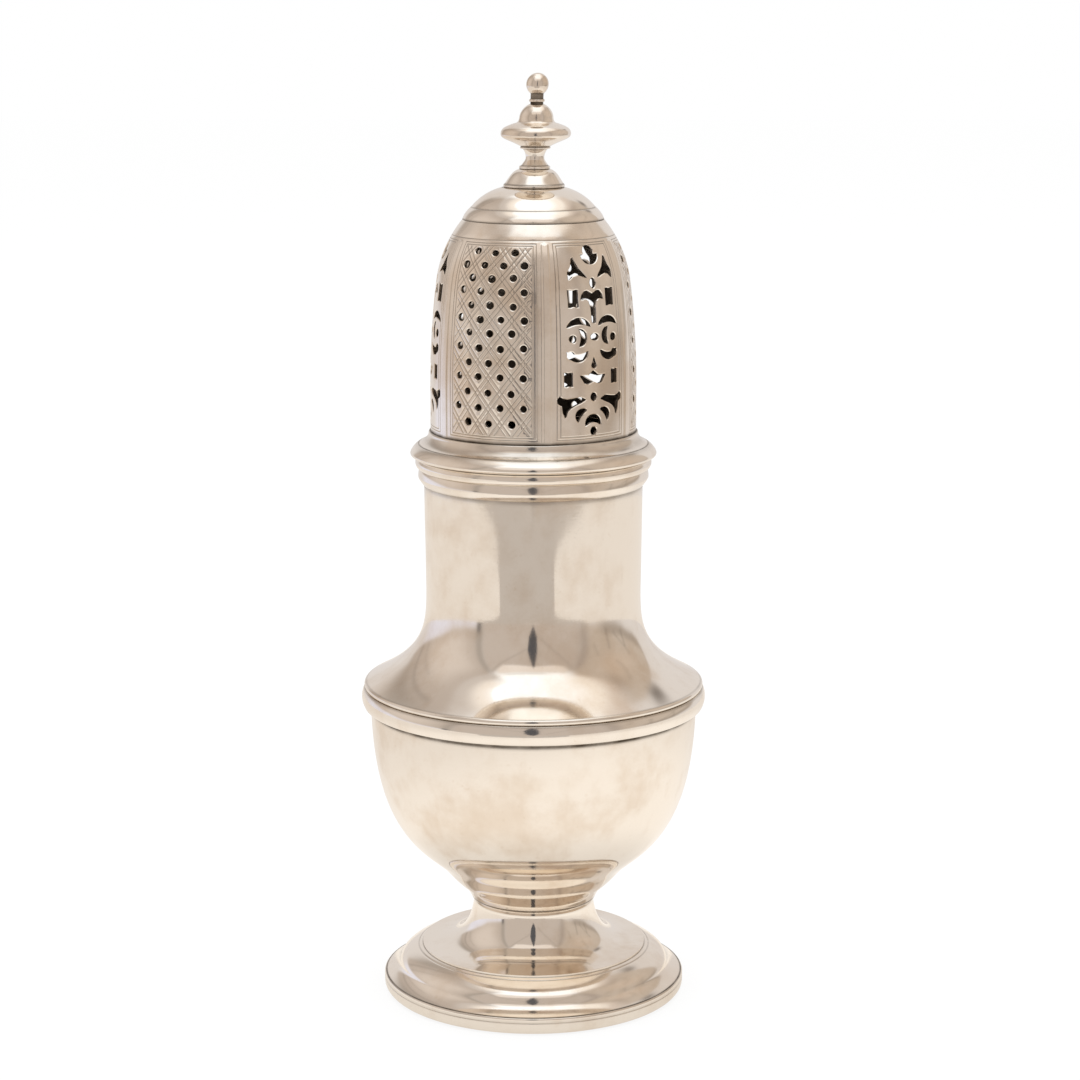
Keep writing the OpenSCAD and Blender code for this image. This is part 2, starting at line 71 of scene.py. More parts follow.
class CasterSizes(bpy.types.PropertyGroup):
    """Sizes that the solids leave to the silversmith."""

    sheet: FloatProperty(
        name="Sheet", description="Thickness of the raised silver",
        default=1.0 * MM, min=0.5 * MM, max=2 * MM, unit="LENGTH", precision=5)
    soft_edge: FloatProperty(
        name="Soft edge", description="Rounding that wear has given to every edge",
        default=0.16 * MM, min=0.02 * MM, max=0.4 * MM, unit="LENGTH", precision=5)
    unevenness: FloatProperty(
        name="Unevenness", description="Depth of the planishing that the hammer left",
        default=0.03 * MM, min=0, max=0.2 * MM, unit="LENGTH", precision=6)
    lean: FloatProperty(
        name="Lean", description="Lean of the finial towards the right",
        default=math.radians(2.0), min=0, max=math.radians(4), subtype="ANGLE")
    segments: IntProperty(
        name="Segments", description="Facets once round a turned piece",
        default=256, min=64, max=512)
    dome_radius: FloatProperty(
        name="Dome radius", description="Radius of the dome at its foot",
        default=22.0 * MM, unit="LENGTH", precision=5)
    dome_wall: FloatProperty(
        name="Dome wall", description="Thickness of the pierced dome",
        default=0.9 * MM, min=0.5 * MM, max=1.5 * MM, unit="LENGTH", precision=5)
    hole: FloatProperty(
        name="Hole", description="Diameter of a hole of the lattice",
        default=1.6 * MM, min=1 * MM, max=2 * MM, unit="LENGTH", precision=5)
    hole_spacing: FloatProperty(
        name="Hole spacing", description="Angle between neighbouring holes of a row",
        default=math.radians(13.2), subtype="ANGLE")
    bevel: FloatProperty(
        name="Bevel", description="Width of the bright bevel round each opening",
        default=0.17 * MM, min=0.05 * MM, max=0.4 * MM, unit="LENGTH", precision=5)
    strap: FloatProperty(
        name="Strap", description="Width of the straps between the panels",
        default=2.2 * MM, unit="LENGTH", precision=5)
    strap_height: FloatProperty(
        name="Strap height", description="How far the straps stand out",
        default=0.2 * MM, unit="LENGTH", precision=5)
    cut_width: FloatProperty(
        name="Cut width", description="Width of an engraved line",
        default=0.26 * MM, min=0.1 * MM, max=0.5 * MM, unit="LENGTH", precision=5)
    cut_depth: FloatProperty(
        name="Cut depth", description="Depth of an engraved line",
        default=0.06 * MM, min=0.02 * MM, max=0.25 * MM, unit="LENGTH", precision=5)


class CasterColours(bpy.types.PropertyGroup):
    """Colours of the metal and of the tent round it."""

    silver: FloatVectorProperty(
        name="Silver", description="Polished silver", subtype="COLOR", size=3,
        default=(0.93, 0.87, 0.79), min=0, max=1)
    tarnish: FloatVectorProperty(
        name="Tarnish", description="Thin warm film on the open surfaces", subtype="COLOR", size=3,
        default=(0.70, 0.56, 0.42), min=0, max=1)
    # Dark colour of deposit in grooves and joints, and of painted shade in creases and gaps
    oxide_and_shade: FloatVectorProperty(
        name="Oxide", description="Dark deposit in grooves and joints", subtype="COLOR", size=3,
        default=(0.085, 0.065, 0.045), min=0, max=1)
    # The floor colours are glow that only mirrors show: painted light on the paper, darkened round the foot
    # as painted shadow and dimmer far away
    floor: FloatVectorProperty(
        name="Floor", description="Paper under the caster, as the silver shows it", subtype="COLOR", size=3,
        default=(0.98, 0.91, 0.83), min=0, max=1)
    floor_far: FloatVectorProperty(
        name="Far floor", description="Paper away from the caster, as the silver shows it",
        subtype="COLOR", size=3, default=(0.79, 0.72, 0.65), min=0, max=1)
    curtain: FloatVectorProperty(
        name="Curtain", description="Cloth in front of the light tent", subtype="COLOR", size=3,
        default=(0.57, 0.52, 0.48), min=0, max=1)
    wall: FloatVectorProperty(
        name="Wall", description="Room round the light tent", subtype="COLOR", size=3,
        default=(0.77, 0.73, 0.71), min=0, max=1)


# Outlines, in millimetres: a point is (radius, height)


def sweep(start, end, lead, tail, count=40):
    """Cubic curve between two points. Each handle is a share of the span, across and up:
    s^3 start + 3 s^2 t lead + 3 s t^2 tail + t^3 end, with s = 1 - t."""
    start, end = np.array(start, float), np.array(end, float)
    reach = end - start
    near, far = start + np.array(lead) * reach, end - np.array(tail) * reach
    t = np.linspace(0, 1, count)[:, None]
    s = 1 - t
    return s**3 * start + 3 * s * s * t * near + 3 * s * t * t * far + t**3 * end


def bow_radius(half, rise):
    """Radius of the circle that rises by so much over a chord of half that length:
    (half^2 + rise^2) / (2 rise)."""
    return (half * half + rise * rise) / (2 * rise)


def swell(radius, foot, head, rise, count=18):
    """Arc that stands out by rise between two heights, widest at their middle."""
    half = (head - foot) / 2
    bow = bow_radius(half, rise)
    turn = np.linspace(-1, 1, count) * math.asin(half / bow)
    return np.stack([radius - bow + bow * np.cos(turn), (foot + head) / 2 + bow * np.sin(turn)], 1)


def arc(centre, radius, start, end, count=14):
    """Arc of a circle between two angles in degrees, counted from the radius outwards."""
    turn = np.radians(np.linspace(start, end, count))
    return np.array(centre) + radius * np.stack([np.cos(turn), np.sin(turn)], 1)


def joined(*paths):
    """Several paths end to end as one outline."""
    return np.concatenate([np.atleast_2d(np.array(path, float)) for path in paths])


def beside(path, distance):
    """The path moved to its left by a distance, square to its own direction."""
    along = np.gradient(path, axis=0)
    along /= np.linalg.norm(along, axis=1, keepdims=True)
    return path + distance * np.stack([-along[:, 1], along[:, 0]], 1)


def scored(path, radius, width, depth):
    """The path with a groove where it passes a radius: the depth falls off linearly to both sides."""
    share = np.clip(1 - np.abs(path[:, 0] - radius) / (width / 2), 0, 1)
    return path + (beside(path, 1) - path) * (depth * share)[:, None]


SHARP = math.radians(18)
EDGE_SHARE = 0.45


def softened(outline, radius, count=5):
    """Rounds the sharp points of a closed outline: each gives way to a parabola that leaves
    one edge and meets the next at the rounding's distance, and takes up less than half of a short
    edge. Points on the axis stay."""
    back = outline - np.roll(outline, 1, 0)
    ahead = np.roll(outline, -1, 0) - outline
    back_length = np.linalg.norm(back, axis=1)
    ahead_length = np.linalg.norm(ahead, axis=1)
    cosine = (back * ahead).sum(1) / np.maximum(back_length * ahead_length, TINY)
    corner = (np.arccos(np.clip(cosine, -1, 1)) > SHARP) & (outline[:, 0] > TINY)
    cut = np.where(corner, np.minimum(radius, EDGE_SHARE * np.minimum(back_length, ahead_length)), 0)
    leave = outline - back * (cut / np.maximum(back_length, TINY))[:, None]
    meet = outline + ahead * (cut / np.maximum(ahead_length, TINY))[:, None]
    t = np.linspace(0, 1, count)[None, :, None]
    curve = (1 - t) ** 2 * leave[:, None] + 2 * t * (1 - t) * outline[:, None] + t * t * meet[:, None]
    points = curve.reshape(-1, 2)
    moved = np.linalg.norm(points - np.roll(points, 1, 0), axis=1) > TINY
    return points[moved]


def filled_in(outline, step, closed):
    """The outline with points added along its longer edges, so that none is much over a step."""
    path = np.concatenate([outline, outline[:1]]) if closed else outline
    length = np.concatenate([[0], np.cumsum(np.linalg.norm(np.diff(path, axis=0), axis=1))])
    even = np.linspace(0, length[-1], max(2, int(length[-1] / step)))
    gap = np.abs(even[:, None] - length[None, :]).min(1)
    place = np.union1d(length, even[gap > step / 3])
    dense = np.stack([np.interp(place, length, path[:, i]) for i in (0, 1)], 1)
    return dense[:-1] if closed else dense


# Meshes

CALM_RADIUS = 20.0
TURNED_CREASE = math.radians(50)


def hammered(angle, height):
    """Planishing between 0 and 1: three slow waves that cross each other round and up the piece."""
    waves = (
        np.sin(9 * angle + 0.31 * height)
        + np.sin(7 * angle - 0.23 * height + 1.9)
        + np.sin(4 * angle + 0.42 * height + 4.1)
    )
    return 0.5 + waves / 6


def turned(outline, segments, unevenness):
    """Outline carried once round the axis: (r, z) at angle a goes to (r cos a, r sin a, z), with
    the radius pressed in by the planishing, less on narrow rings. Outlines that reach the axis end
    in a fan."""
    on_axis = outline[:, 0] < TINY
    rings = outline[~on_axis]
    angle = np.linspace(0, 2 * np.pi, segments, endpoint=False)[None, :]
    radius, height = rings[:, :1], rings[:, 1:]
    press = unevenness * np.minimum(1, (radius / CALM_RADIUS) ** 2)
    radius = radius - press * hammered(angle, height)
    height = np.broadcast_to(height, radius.shape)
    points = np.stack([radius * np.cos(angle), radius * np.sin(angle), height], 2).reshape(-1, 3)
    grid = np.arange(len(rings) * segments).reshape(len(rings), segments)
    if not on_axis.any():
        grid = np.concatenate([grid, grid[:1]])
    beyond = np.roll(grid, -1, 1)
    faces = [np.stack([grid[:-1], beyond[:-1], beyond[1:], grid[1:]], 2).reshape(-1, 4)]
    if on_axis.any():
        poles = np.zeros((2, 3))
        poles[:, 2] = outline[on_axis][[0, -1], 1]
        foot = np.full(segments, len(points))
        head = foot + 1
        points = np.concatenate([points, poles])
        faces.append(np.stack([foot, beyond[0], grid[0]], 1))
        faces.append(np.stack([head, grid[-1], beyond[-1]], 1))
    return points, faces


# Strength and reach of the usual dark mark: deposit in joints, painted shade in creases and gaps
DEPOSIT_AND_SHADE = (0.7, 0.2)


def deposit_and_shade(points, joints):
    """Dark mark from 0 to 1 at each point, deposit in real joints and painted shade in creases and gaps:
    it fades with the distance from the nearest joint. A joint is a circle: its radius, its height and,
    where they differ from the usual, the strength of the mark and its reach."""
    if not joints:
        return np.zeros(len(points))
    radius, height, strength, reach = np.array([(*joint, *DEPOSIT_AND_SHADE[len(joint) - 2:]) for joint in joints]).T
    away = np.hypot(np.hypot(points[:, 0], points[:, 1])[:, None] - radius, points[:, 2:] - height)
    return (strength * np.exp(-((away / reach) ** 2))).max(1)


def new_mesh(name, points, faces, marks, crease):
    """Mesh from points in millimetres and arrays of faces, smooth but for edges over the crease."""
    mesh = bpy.data.meshes.new(name)
    mesh.vertices.add(len(points))
    mesh.vertices.foreach_set("co", (points * MM).astype(np.float32).ravel())
    corners = np.concatenate([face.ravel() for face in faces])
    sizes = np.concatenate([np.full(len(face), face.shape[1]) for face in faces])
    mesh.loops.add(len(corners))
    mesh.loops.foreach_set("vertex_index", corners.astype(np.int32))
    mesh.polygons.add(len(sizes))
    mesh.polygons.foreach_set("loop_start", (np.cumsum(sizes) - sizes).astype(np.int32))
    mesh.update(calc_edges=True)
    for mark, values in marks.items():
        kind, key = ("FLOAT", "value") if values.ndim == 1 else ("FLOAT_VECTOR", "vector")
        attribute = mesh.attributes.new(mark, kind, "POINT")
        attribute.data.foreach_set(key, values.astype(np.float32).ravel())
    mesh.shade_smooth()
    mesh.set_sharp_from_angle(angle=crease)
    return mesh


def place(name, mesh, material):
    """A new object at the origin that shows the mesh in one material."""
    piece = bpy.data.objects.new(name, mesh)
    mesh.materials.append(material)
    bpy.context.scene.collection.objects.link(piece)
    return piece


def dress(piece, body, node):
    """The piece stands for one solid of the frame and moves with its body."""
    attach(piece, body)
    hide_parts(node)


def turned_piece(context, name, outline, body, node, slot, joints=(), step=0.5, share=1.0, lean_from=None):
    """Softens an outline, fills it in to a step, turns it with a share of the usual facets and dresses
    the solid that it stands for. A piece that leans moves aside by the tangent of its lean for each
    millimetre above lean_from."""
    sizes = context.scene.caster_sizes
    closed = outline[0, 0] > TINY
    outline = filled_in(softened(outline, sizes.soft_edge / MM), step, closed)
    points, faces = turned(outline, int(sizes.segments * share), sizes.unevenness / MM)
    marks = {"oxide_and_shade": deposit_and_shade(points, joints)}
    if lean_from is not None:
        points[:, 0] += math.tan(sizes.lean) * np.maximum(points[:, 2] - lean_from, 0)
    mesh = new_mesh(name, points, faces, marks, TURNED_CREASE)
    dress(place(name, mesh, silver_finish(context, slot)), body, node)


# Shader sums


class Value:
    """A shader socket that takes part in Python sums: each sign adds one Math node."""

    def __init__(self, bench, socket):
        self.bench = bench
        self.socket = socket

    def __add__(self, other):
        return self.bench.sum("ADD", self, other)

    def __sub__(self, other):
        return self.bench.sum("SUBTRACT", self, other)

    def __rsub__(self, other):
        return self.bench.sum("SUBTRACT", other, self)

    def __mul__(self, other):
        return self.bench.sum("MULTIPLY", self, other)

    __radd__ = __add__
    __rmul__ = __mul__


class Bench:
    """The node tree of one material or world."""

    def __init__(self, owner):
        owner.use_nodes = True
        self.tree = owner.node_tree
        self.tree.nodes.clear()

    def add(self, kind, settings=None, **sockets):
        """Adds a node: its settings first, then the value or link of each named or numbered socket."""
        node = self.tree.nodes.new(kind)
        for key, value in (settings or {}).items():
            setattr(node, key, value)
        for key, value in sockets.items():
            socket = node.inputs[int(key[1:]) if key[1:].isdigit() else key.replace("_", " ")]
            if isinstance(value, Value):
                self.tree.links.new(value.socket, socket)
            else:
                socket.default_value = value
        return node

    def value(self, kind, output=0, settings=None, **sockets):
        """One output of a new node, as a value for sums."""
        return Value(self, self.add(kind, settings, **sockets).outputs[output])

    def sum(self, operation, first, second):
        """One Math node on two values or numbers."""
        return self.value("ShaderNodeMath", 0, {"operation": operation}, i0=first, i1=second)

    def ramp(self, value, low, high):
        """0 below the low mark, 1 above the high mark, and a smooth rise between them."""
        settings = {"interpolation_type": "SMOOTHSTEP"}
        return self.value("ShaderNodeMapRange", 0, settings, Value=value, From_Min=low, From_Max=high)

    def blend(self, share, first, second):
        """Mix of two colours by a share."""
        return self.value("ShaderNodeMix", 2, {"data_type": "RGBA"}, i0=share, i6=first, i7=second)

    def noise(self, place, scale, detail, roughness):
        """Soft noise around a half."""
        return self.value("ShaderNodeTexNoise", Vector=place, Scale=scale, Detail=detail, Roughness=roughness)


def opaque(colour):
    """The colour with full alpha."""
    return (*colour, 1.0)


# Each finish: share of tarnish, roughness, and strength of the polishing lines
FINISHES = {
    "polished_silver": {"tarnish": 0.42, "haze": 0.055, "lines": 0.5},
    "silver_moulding": {"tarnish": 0.30, "haze": 0.08, "lines": 0.8},
    "pierced_silver": {"tarnish": 0.55, "haze": 0.13, "lines": 0.7},
    "turned_silver": {"tarnish": 0.50, "haze": 0.10, "lines": 1.0},
}


def silver_finish(context, slot):
    """Worn polished silver: warm clouds of tarnish, faint polishing lines round the axis, fine
    scratches, and a dark mark where the piece's own mark says: deposit in joints and grooves, and
    painted shade in creases and gaps."""
    name = slot + "_finish"
    if name in bpy.data.materials:
        return bpy.data.materials[name]
    colours, finish = context.scene.caster_colours, FINISHES[slot]
    material = bpy.data.materials.new(name)
    bench = Bench(material)
    where = bench.value("ShaderNodeTexCoord", 3)
    stretched = bench.value("ShaderNodeMapping", Vector=where, Scale=(90, 90, 2600))
    crossed = bench.value(
        "ShaderNodeMapping", Vector=where, Rotation=(0.5, 0.9, 0.3), Scale=(2200, 260, 2200))
    # Each piece's dark mark: deposit in joints and grooves, and painted shade in creases and gaps
    oxide_and_shade = bench.value("ShaderNodeAttribute", 2, {"attribute_name": "oxide_and_shade"})
    oxide_and_shade = oxide_and_shade * (0.5 + bench.noise(where, 190, 3, 0.6))
    clouds = bench.ramp(bench.noise(where, 42, 6, 0.62), 0.44, 0.66)
    mottle = bench.ramp(bench.noise(where, 170, 4, 0.6), 0.48, 0.70)
    specks = bench.ramp(bench.noise(where, 900, 2, 0.5), 0.66, 0.76)
    lines = bench.noise(stretched, 1, 2, 0.6)
    scratches = bench.ramp(bench.noise(crossed, 1, 2, 0.5), 0.60, 0.75)
    film = clouds * finish["tarnish"] + mottle * 0.10 + specks * 0.15
    metal = bench.blend(film, opaque(colours.silver), opaque(colours.tarnish))
    colour = bench.blend(oxide_and_shade, metal, opaque(colours.oxide_and_shade))
    haze = finish["haze"] + clouds * 0.05 + lines * (0.03 * finish["lines"]) + oxide_and_shade * 0.4
    grain = lines * finish["lines"] - scratches * 0.6
    bump = bench.value("ShaderNodeBump", Strength=0.05, Distance=0.00004, Height=grain)
    shader = bench.value(
        "ShaderNodeBsdfPrincipled", Base_Color=colour, Metallic=1.0, Roughness=haze, Normal=bump)
    bench.add("ShaderNodeOutputMaterial", Surface=shader)
    return material


# The pierced dome


class DomeCurve:
    """Meridian of the dome: straight, then a slow side curve, then the crown curve."""

    SIDE_RADIUS = 180.0
    SIDE_TURN = math.radians(7.2)
    CROWN_RADIUS = 25.4
    CROWN_TURN = math.radians(39.5)

    def __init__(self, sizes):
        self.foot, head = span("pierced_dome")[:2]
        self.height = head - self.foot
        self.radius = sizes.dome_radius / MM
        self.side_height = self.SIDE_RADIUS * math.sin(self.SIDE_TURN)
        crown_height = self.CROWN_RADIUS * (math.sin(self.CROWN_TURN) - math.sin(self.SIDE_TURN))
        self.straight = self.height - self.side_height - crown_height
        apart = self.SIDE_RADIUS - self.CROWN_RADIUS
        self.side_middle = self.radius - self.SIDE_RADIUS
        self.crown_middle = self.side_middle + apart * math.cos(self.SIDE_TURN)
        self.crown_height = self.straight + apart * math.sin(self.SIDE_TURN)

    def turn(self, v):
        """Turn from upright at a height v above the foot: the arcsine of v over each arc's radius."""
        side = np.arcsin(np.clip((v - self.straight) / self.SIDE_RADIUS, 0, 1))
        crown = np.arcsin(np.clip((v - self.crown_height) / self.CROWN_RADIUS, -1, 1))
        return np.where(v <= self.straight + self.side_height, side, crown)

    def reach(self, v):
        """Radius at a height v: the arc's middle plus its radius times the cosine of the turn."""
        turn = self.turn(v)
        side = self.side_middle + self.SIDE_RADIUS * np.cos(turn)
        crown = self.crown_middle + self.CROWN_RADIUS * np.cos(turn)
        return np.where(v <= self.straight + self.side_height, side, crown)

    def lift(self, flat, middle, rise):
        """Puts flat points (x round the foot, height v) of a panel on the dome, raised by rise along
        the surface's own normal. x over the foot's radius is the angle from the panel's middle."""
        x, v = flat[:, 0], flat[:, 1]
        angle = middle + x / self.radius
        turn = self.turn(v)
        radius = self.reach(v) + rise * np.cos(turn)
        height = self.foot + v + rise * np.sin(turn)
        return np.stack([radius * np.cos(angle), radius * np.sin(angle), height], 1)


def ring_of(centre, radius, count=26):
    """Closed circle of flat points."""
    return arc(centre, radius, 0, 360 * (1 - 1 / count), count)


def bowed(half, rise, count=15):
    """Arc over a chord from the right tip to the left one, centred on the chord's middle."""
    radius = bow_radius(half, abs(rise))
    turn = np.linspace(1, -1, count) * 2 * math.atan2(abs(rise), half)
    up = abs(rise) - radius + radius * np.cos(turn)
    return np.stack([radius * np.sin(turn), math.copysign(1, rise) * up], 1)


def crescent(half, outer, inner):
    """Crescent between two arcs over the same chord."""
    return joined(bowed(half, outer), bowed(half, inner)[-2:0:-1])


def leaf(half, upper, lower):
    """Leaf between an arc above its chord and an arc below it."""
    return joined(bowed(half, upper), bowed(half, -lower)[-2:0:-1])


def drop(radius, length):
    """Drop with a round foot and a pointed head."""
    touch = math.degrees(math.asin(radius / length))
    return joined(arc((0, 0), radius, 180 - touch, 360 + touch, 18), (0, length))


def slot_with_hollow_ends(width, height):
    """Upright slot whose two ends bow inwards by a sixth of its width."""
    end = bowed(width / 2, -width / 6, 9) + (0, height / 2)
    return joined(end, -end)


def between(*corners):
    """Closed outline through corners with points added along its edges."""
    return filled_in(np.array(corners, float), 0.3, True)


def both_sides(half):
    """Closed outline from its right half, which starts and ends on the middle line."""
    half = np.array(half, float)
    return between(*half, *(half[-2:0:-1] * (-1, 1)))


def turning(outline):
    """Twice the area of a closed outline, above 0 where it runs to the left: the sum of
    x next y - y next x."""
    x, y = outline.T
    return (x * np.roll(y, -1) - y * np.roll(x, -1)).sum()


def grown(shape, by):
    """A closed outline moved outwards: each point goes square to the line between its neighbours."""
    along = np.roll(shape, -1, 0) - np.roll(shape, 1, 0)
    square = np.sign(turning(shape)) * np.stack([along[:, 1], -along[:, 0]], 1)
    return shape + by * square / np.maximum(np.linalg.norm(square, axis=1, keepdims=True), TINY)


def put(shape, x, y, turn=0.0):
    """A flat shape turned by an angle in degrees and moved to a place."""
    c, s = math.cos(math.radians(turn)), math.sin(math.radians(turn))
    return shape @ np.array([[c, s], [-s, c]]) + (x, y)


def scroll_openings():
    """Openings of a scrolled panel as drawn flat: across from its middle line, and up from its foot."""
    bat_wing = [(0, 13), (1.4, 12.45), (2.2, 12.7), (3.1, 14.15), (1.2, 14.1), (0, 15.05)]
    stem_and_lobe = [
        (0, 25.05), (0.3, 25.05), (0.45, 28.2), (0.9, 29.6), (1.5, 30), (2.2, 30.1), (2.8, 29.8),
        (2.5, 30.8), (1.9, 31.5), (1.3, 31.6), (0.6, 31.2), (0, 30.9)]
    branch = [
        (2, 9.1), (3.1, 8.55), (4.3, 8.1), (5.4, 7.5), (6.1, 6.8), (6.45, 5.55), (6.95, 6.6), (7.1, 8),
        (8, 8.6), (8.1, 9.4), (7.7, 9.9), (7.1, 9.5), (6.2, 9.25), (4.8, 9.4), (3.3, 9.65)]
    arrowhead = [
        (1.5, 34.3), (2.6, 34.75), (3.7, 35.05), (4.7, 34.8), (5.6, 34), (5.55, 35.5), (4.8, 36.5),
        (4.4, 37.5), (4.1, 38.5), (3.7, 37.4), (3.1, 36.1), (2.2, 35.1)]
    middle = [
        put(leaf(0.8, 0.65, 0.65), 0, 2.4, 90),
        put(crescent(1.8, 2.2, 0.7), 0, 3.6),
        put(leaf(0.8, 0.62, 0.62), 0, 9.65, 90),
        both_sides(bat_wing),
        put(drop(0.5, 1.8), 0, 16.1),
        put(leaf(0.95, 0.55, 0.75), 0, 22.1),
        both_sides(stem_and_lobe),
        put(leaf(1, 0.6, 0.6), 0, 33.05, 90),
        put(crescent(2.1, 1.9, 0.2), 0, 38.8, 180),
        ring_of((0, 39.4), 1.15),
    ]
    side = [
        put(crescent(1.5, 1.5, 0.3), 2.7, 5.7, -51),
        between(*branch),
        put(slot_with_hollow_ends(1.55, 3.1), 5.8, 13.5),
        put(crescent(2.35, 2.1, 0.75), 3.95, 19.2, 180),
        ring_of((5.6, 18.4), 0.75, 18),
        ring_of((5.2, 21.75), 0.7, 18),
        put(crescent(1.75, 1.65, 0.45), 3.75, 22.1, 90),
        put(crescent(2.65, 1.85, 0.65), 3.75, 24.3),
        put(slot_with_hollow_ends(2, 3.8), 4.65, 30.1),
        between(*arrowhead),
    ]
    mirrored = [shape[::-1] * (-1, 1) for shape in side]
    return middle + side + mirrored


def split(a, b, c, d):
    """Two triangles for each face of four corners."""
    return np.concatenate([np.stack([a, b, c], 1), np.stack([a, c, d], 1)])


def soft_step(share):
    """0 below 0, 1 above 1, and 3 t^2 - 2 t^3 between."""
    t = np.clip(share, 0, 1)
    return t * t * (3 - 2 * t)


class Panel:
    """One panel of the dome, flat: x runs round the foot from its middle line, y up its height."""

    # Net: spacing outside and inside, height of a row, place of the first column, margin at the sides,
    # and the clearance from drawn lines. Near points snap together, and slivers are dropped.
    GRID = 0.62
    INNER_GRID = 1.6
    ROW, FIRST_COLUMN, MARGIN = 0.87, 0.6, 0.3
    CLEAR = 0.2
    SNAP = 0.03
    SLIVER = 1e-5
    LEVELS = 76
    # Engraving: insets and heights of both frames, and the line round the dome above them
    FRAME_X = (2.1, 2.9)
    FRAME_FOOT = (1.0, 1.55)
    FRAME_HEAD = (41.15, 40.7)
    RING_LINE = 41.8
    GUARD = 0.12
    # Straps: head, width of the sloping edge, and how near their lines come to foot, head and seam
    STRAP_HEAD = 41.4
    EDGE = 0.5
    EDGE_LINES = 5
    STRAP_FOOT, HEAD_GAP, SEAM_GAP = 0.2, 0.15, 0.25
    # Bevels: share of the room across an opening, what counts as facing, and fall over width
    ROOM = 0.25
    FACING = 0.75
    FALL = 0.75
    PRESS = 0.4
    # Darkening in the cuts, on the lining and along the foot
    CUT_DARKNESS = 0.65
    LINING = 0.8
    FOOT_LINE = 0.35

    def __init__(self, curve, sizes, width, middle, seed):
        self.curve = curve
        self.middle = middle
        self.half = width / 2 * curve.radius
        self.cut = sizes.cut_width / MM
        self.depth = sizes.cut_depth / MM
        self.bevel = sizes.bevel / MM
        self.wall = sizes.dome_wall / MM
        self.strap = sizes.strap / MM / 2
        self.strap_height = sizes.strap_height / MM
        self.uneven = sizes.unevenness / MM
        self.random = np.random.default_rng(seed)
        self.ring_levels = [self.RING_LINE + side * self.cut for side in (-0.5, 0, 0.5)]
        self.levels = np.union1d(np.linspace(0, curve.height, self.LEVELS), self.ring_levels)
        self.across = np.linspace(-self.half, self.half, int(2 * self.half / self.GRID) + 1)

    def openings(self):
        """Closed flat outlines of the panel's openings."""
        raise NotImplementedError

    def level_line(self, level):
        """Points across the panel at a height."""
        return np.stack([self.across, np.full(len(self.across), level)], 1)

    def own_lines(self):
        """Engraved lines of the panel's own field, as flat paths."""
        return []

    def own_depth(self, flat):
        """Depth of the field's own engraving at flat points."""
        return np.zeros(len(flat))

    def groove(self, away):
        """Depth of a V cut at a distance from its middle line."""
        return self.depth * np.clip(1 - np.abs(away) / (self.cut / 2), 0, 1)

    def cuts(self, flat):
        """Depth of all engraving at flat points: the field's own, the ring line above the straps and
        the two nested frames. Where they cross, the deepest counts."""
        x, y = np.abs(flat[:, 0]), flat[:, 1]
        deepest = np.maximum(self.own_depth(flat), self.groove(y - self.RING_LINE))
        for inset, foot, head in zip(self.FRAME_X, self.FRAME_FOOT, self.FRAME_HEAD):
            out = np.stack([x - (self.half - inset), foot - y, y - head])
            deepest = np.maximum(deepest, self.groove(out.max(0)))
        return deepest

    def relief(self, flat):
        """Height over the dome's own surface: straps stand up at both sides, cuts go down, and the
        planishing presses the sheet in."""
        x, y = np.abs(flat[:, 0]), flat[:, 1]
        inside = soft_step((self.strap - (self.half - x)) / self.EDGE)
        below = soft_step((self.STRAP_HEAD - y) / self.EDGE)
        angle = self.middle + flat[:, 0] / self.curve.radius
        press = self.PRESS * self.uneven * hammered(angle, y)
        return self.strap_height * inside * below - self.cuts(flat) - press

    def frame_lines(self):
        """Paths of the frames' cuts and of the straps' edges: across each, and a guard line at either
        side that keeps the flat beside it flat."""
        paths = []
        side = self.cut / 2
        for inset, foot, head in zip(self.FRAME_X, self.FRAME_FOOT, self.FRAME_HEAD):
            for out in (-side - self.GUARD, -side, 0, side, side + self.GUARD):
                x, low, high = self.half - inset + out, foot - out, head + out
                corners = np.array([(-x, low), (x, low), (x, high), (-x, high), (-x, low)])
                paths.append(filled_in(corners, self.GRID, False))
        paths.extend(self.level_line(level) for level in self.ring_levels)
        for rise in (-self.GUARD, *np.linspace(0, self.EDGE, self.EDGE_LINES), self.EDGE + self.GUARD):
            head = self.STRAP_HEAD - rise
            up = self.levels[(self.levels > self.STRAP_FOOT) & (self.levels < head - self.HEAD_GAP)]
            for sign in (-1, 1):
                x = sign * (self.half - self.strap + rise)
                upright = np.stack([np.full(len(up), x), up], 1)
                across = np.array([(x, head), (sign * (self.half - self.SEAM_GAP), head)])
                paths.append(joined(upright, filled_in(across, self.GRID, False)))
        return paths

    def border(self):
        """Points round the panel's edge, which neighbouring panels share."""
        left = np.stack([np.full(len(self.levels), -self.half), self.levels], 1)
        foot, head = self.level_line(0), self.level_line(self.curve.height)
        return joined(left, left * (-1, 1), foot[1:-1], head[1:-1])

    def field(self, spacing, taken):
        """Even staggered points over the panel that keep clear of the points already taken."""
        rows = np.arange(spacing, self.curve.height - spacing / 2, spacing * self.ROW)
        edge = self.half - spacing * self.MARGIN
        columns = np.arange(-self.half + spacing * self.FIRST_COLUMN, edge, spacing)
        x = columns[None, :] + (np.arange(len(rows)) % 2)[:, None] * spacing / 2
        grid = np.stack([x, np.broadcast_to(rows[:, None], x.shape)], 2).reshape(-1, 2)
        grid = grid[np.abs(grid[:, 0]) < edge]
        cell = self.CLEAR
        low = np.array([-self.half, 0]) - 4 * cell
        high = np.array([self.half, self.curve.height]) + 4 * cell
        busy = np.zeros(np.ceil((high - low) / cell).astype(int) + 1, bool)
        at = ((taken - low) / cell).astype(int)
        for dx in (-1, 0, 1):
            for dy in (-1, 0, 1):
                busy[at[:, 0] + dx, at[:, 1] + dy] = True
        spot = ((grid - low) / cell).astype(int)
        return grid[~busy[spot[:, 0], spot[:, 1]]]

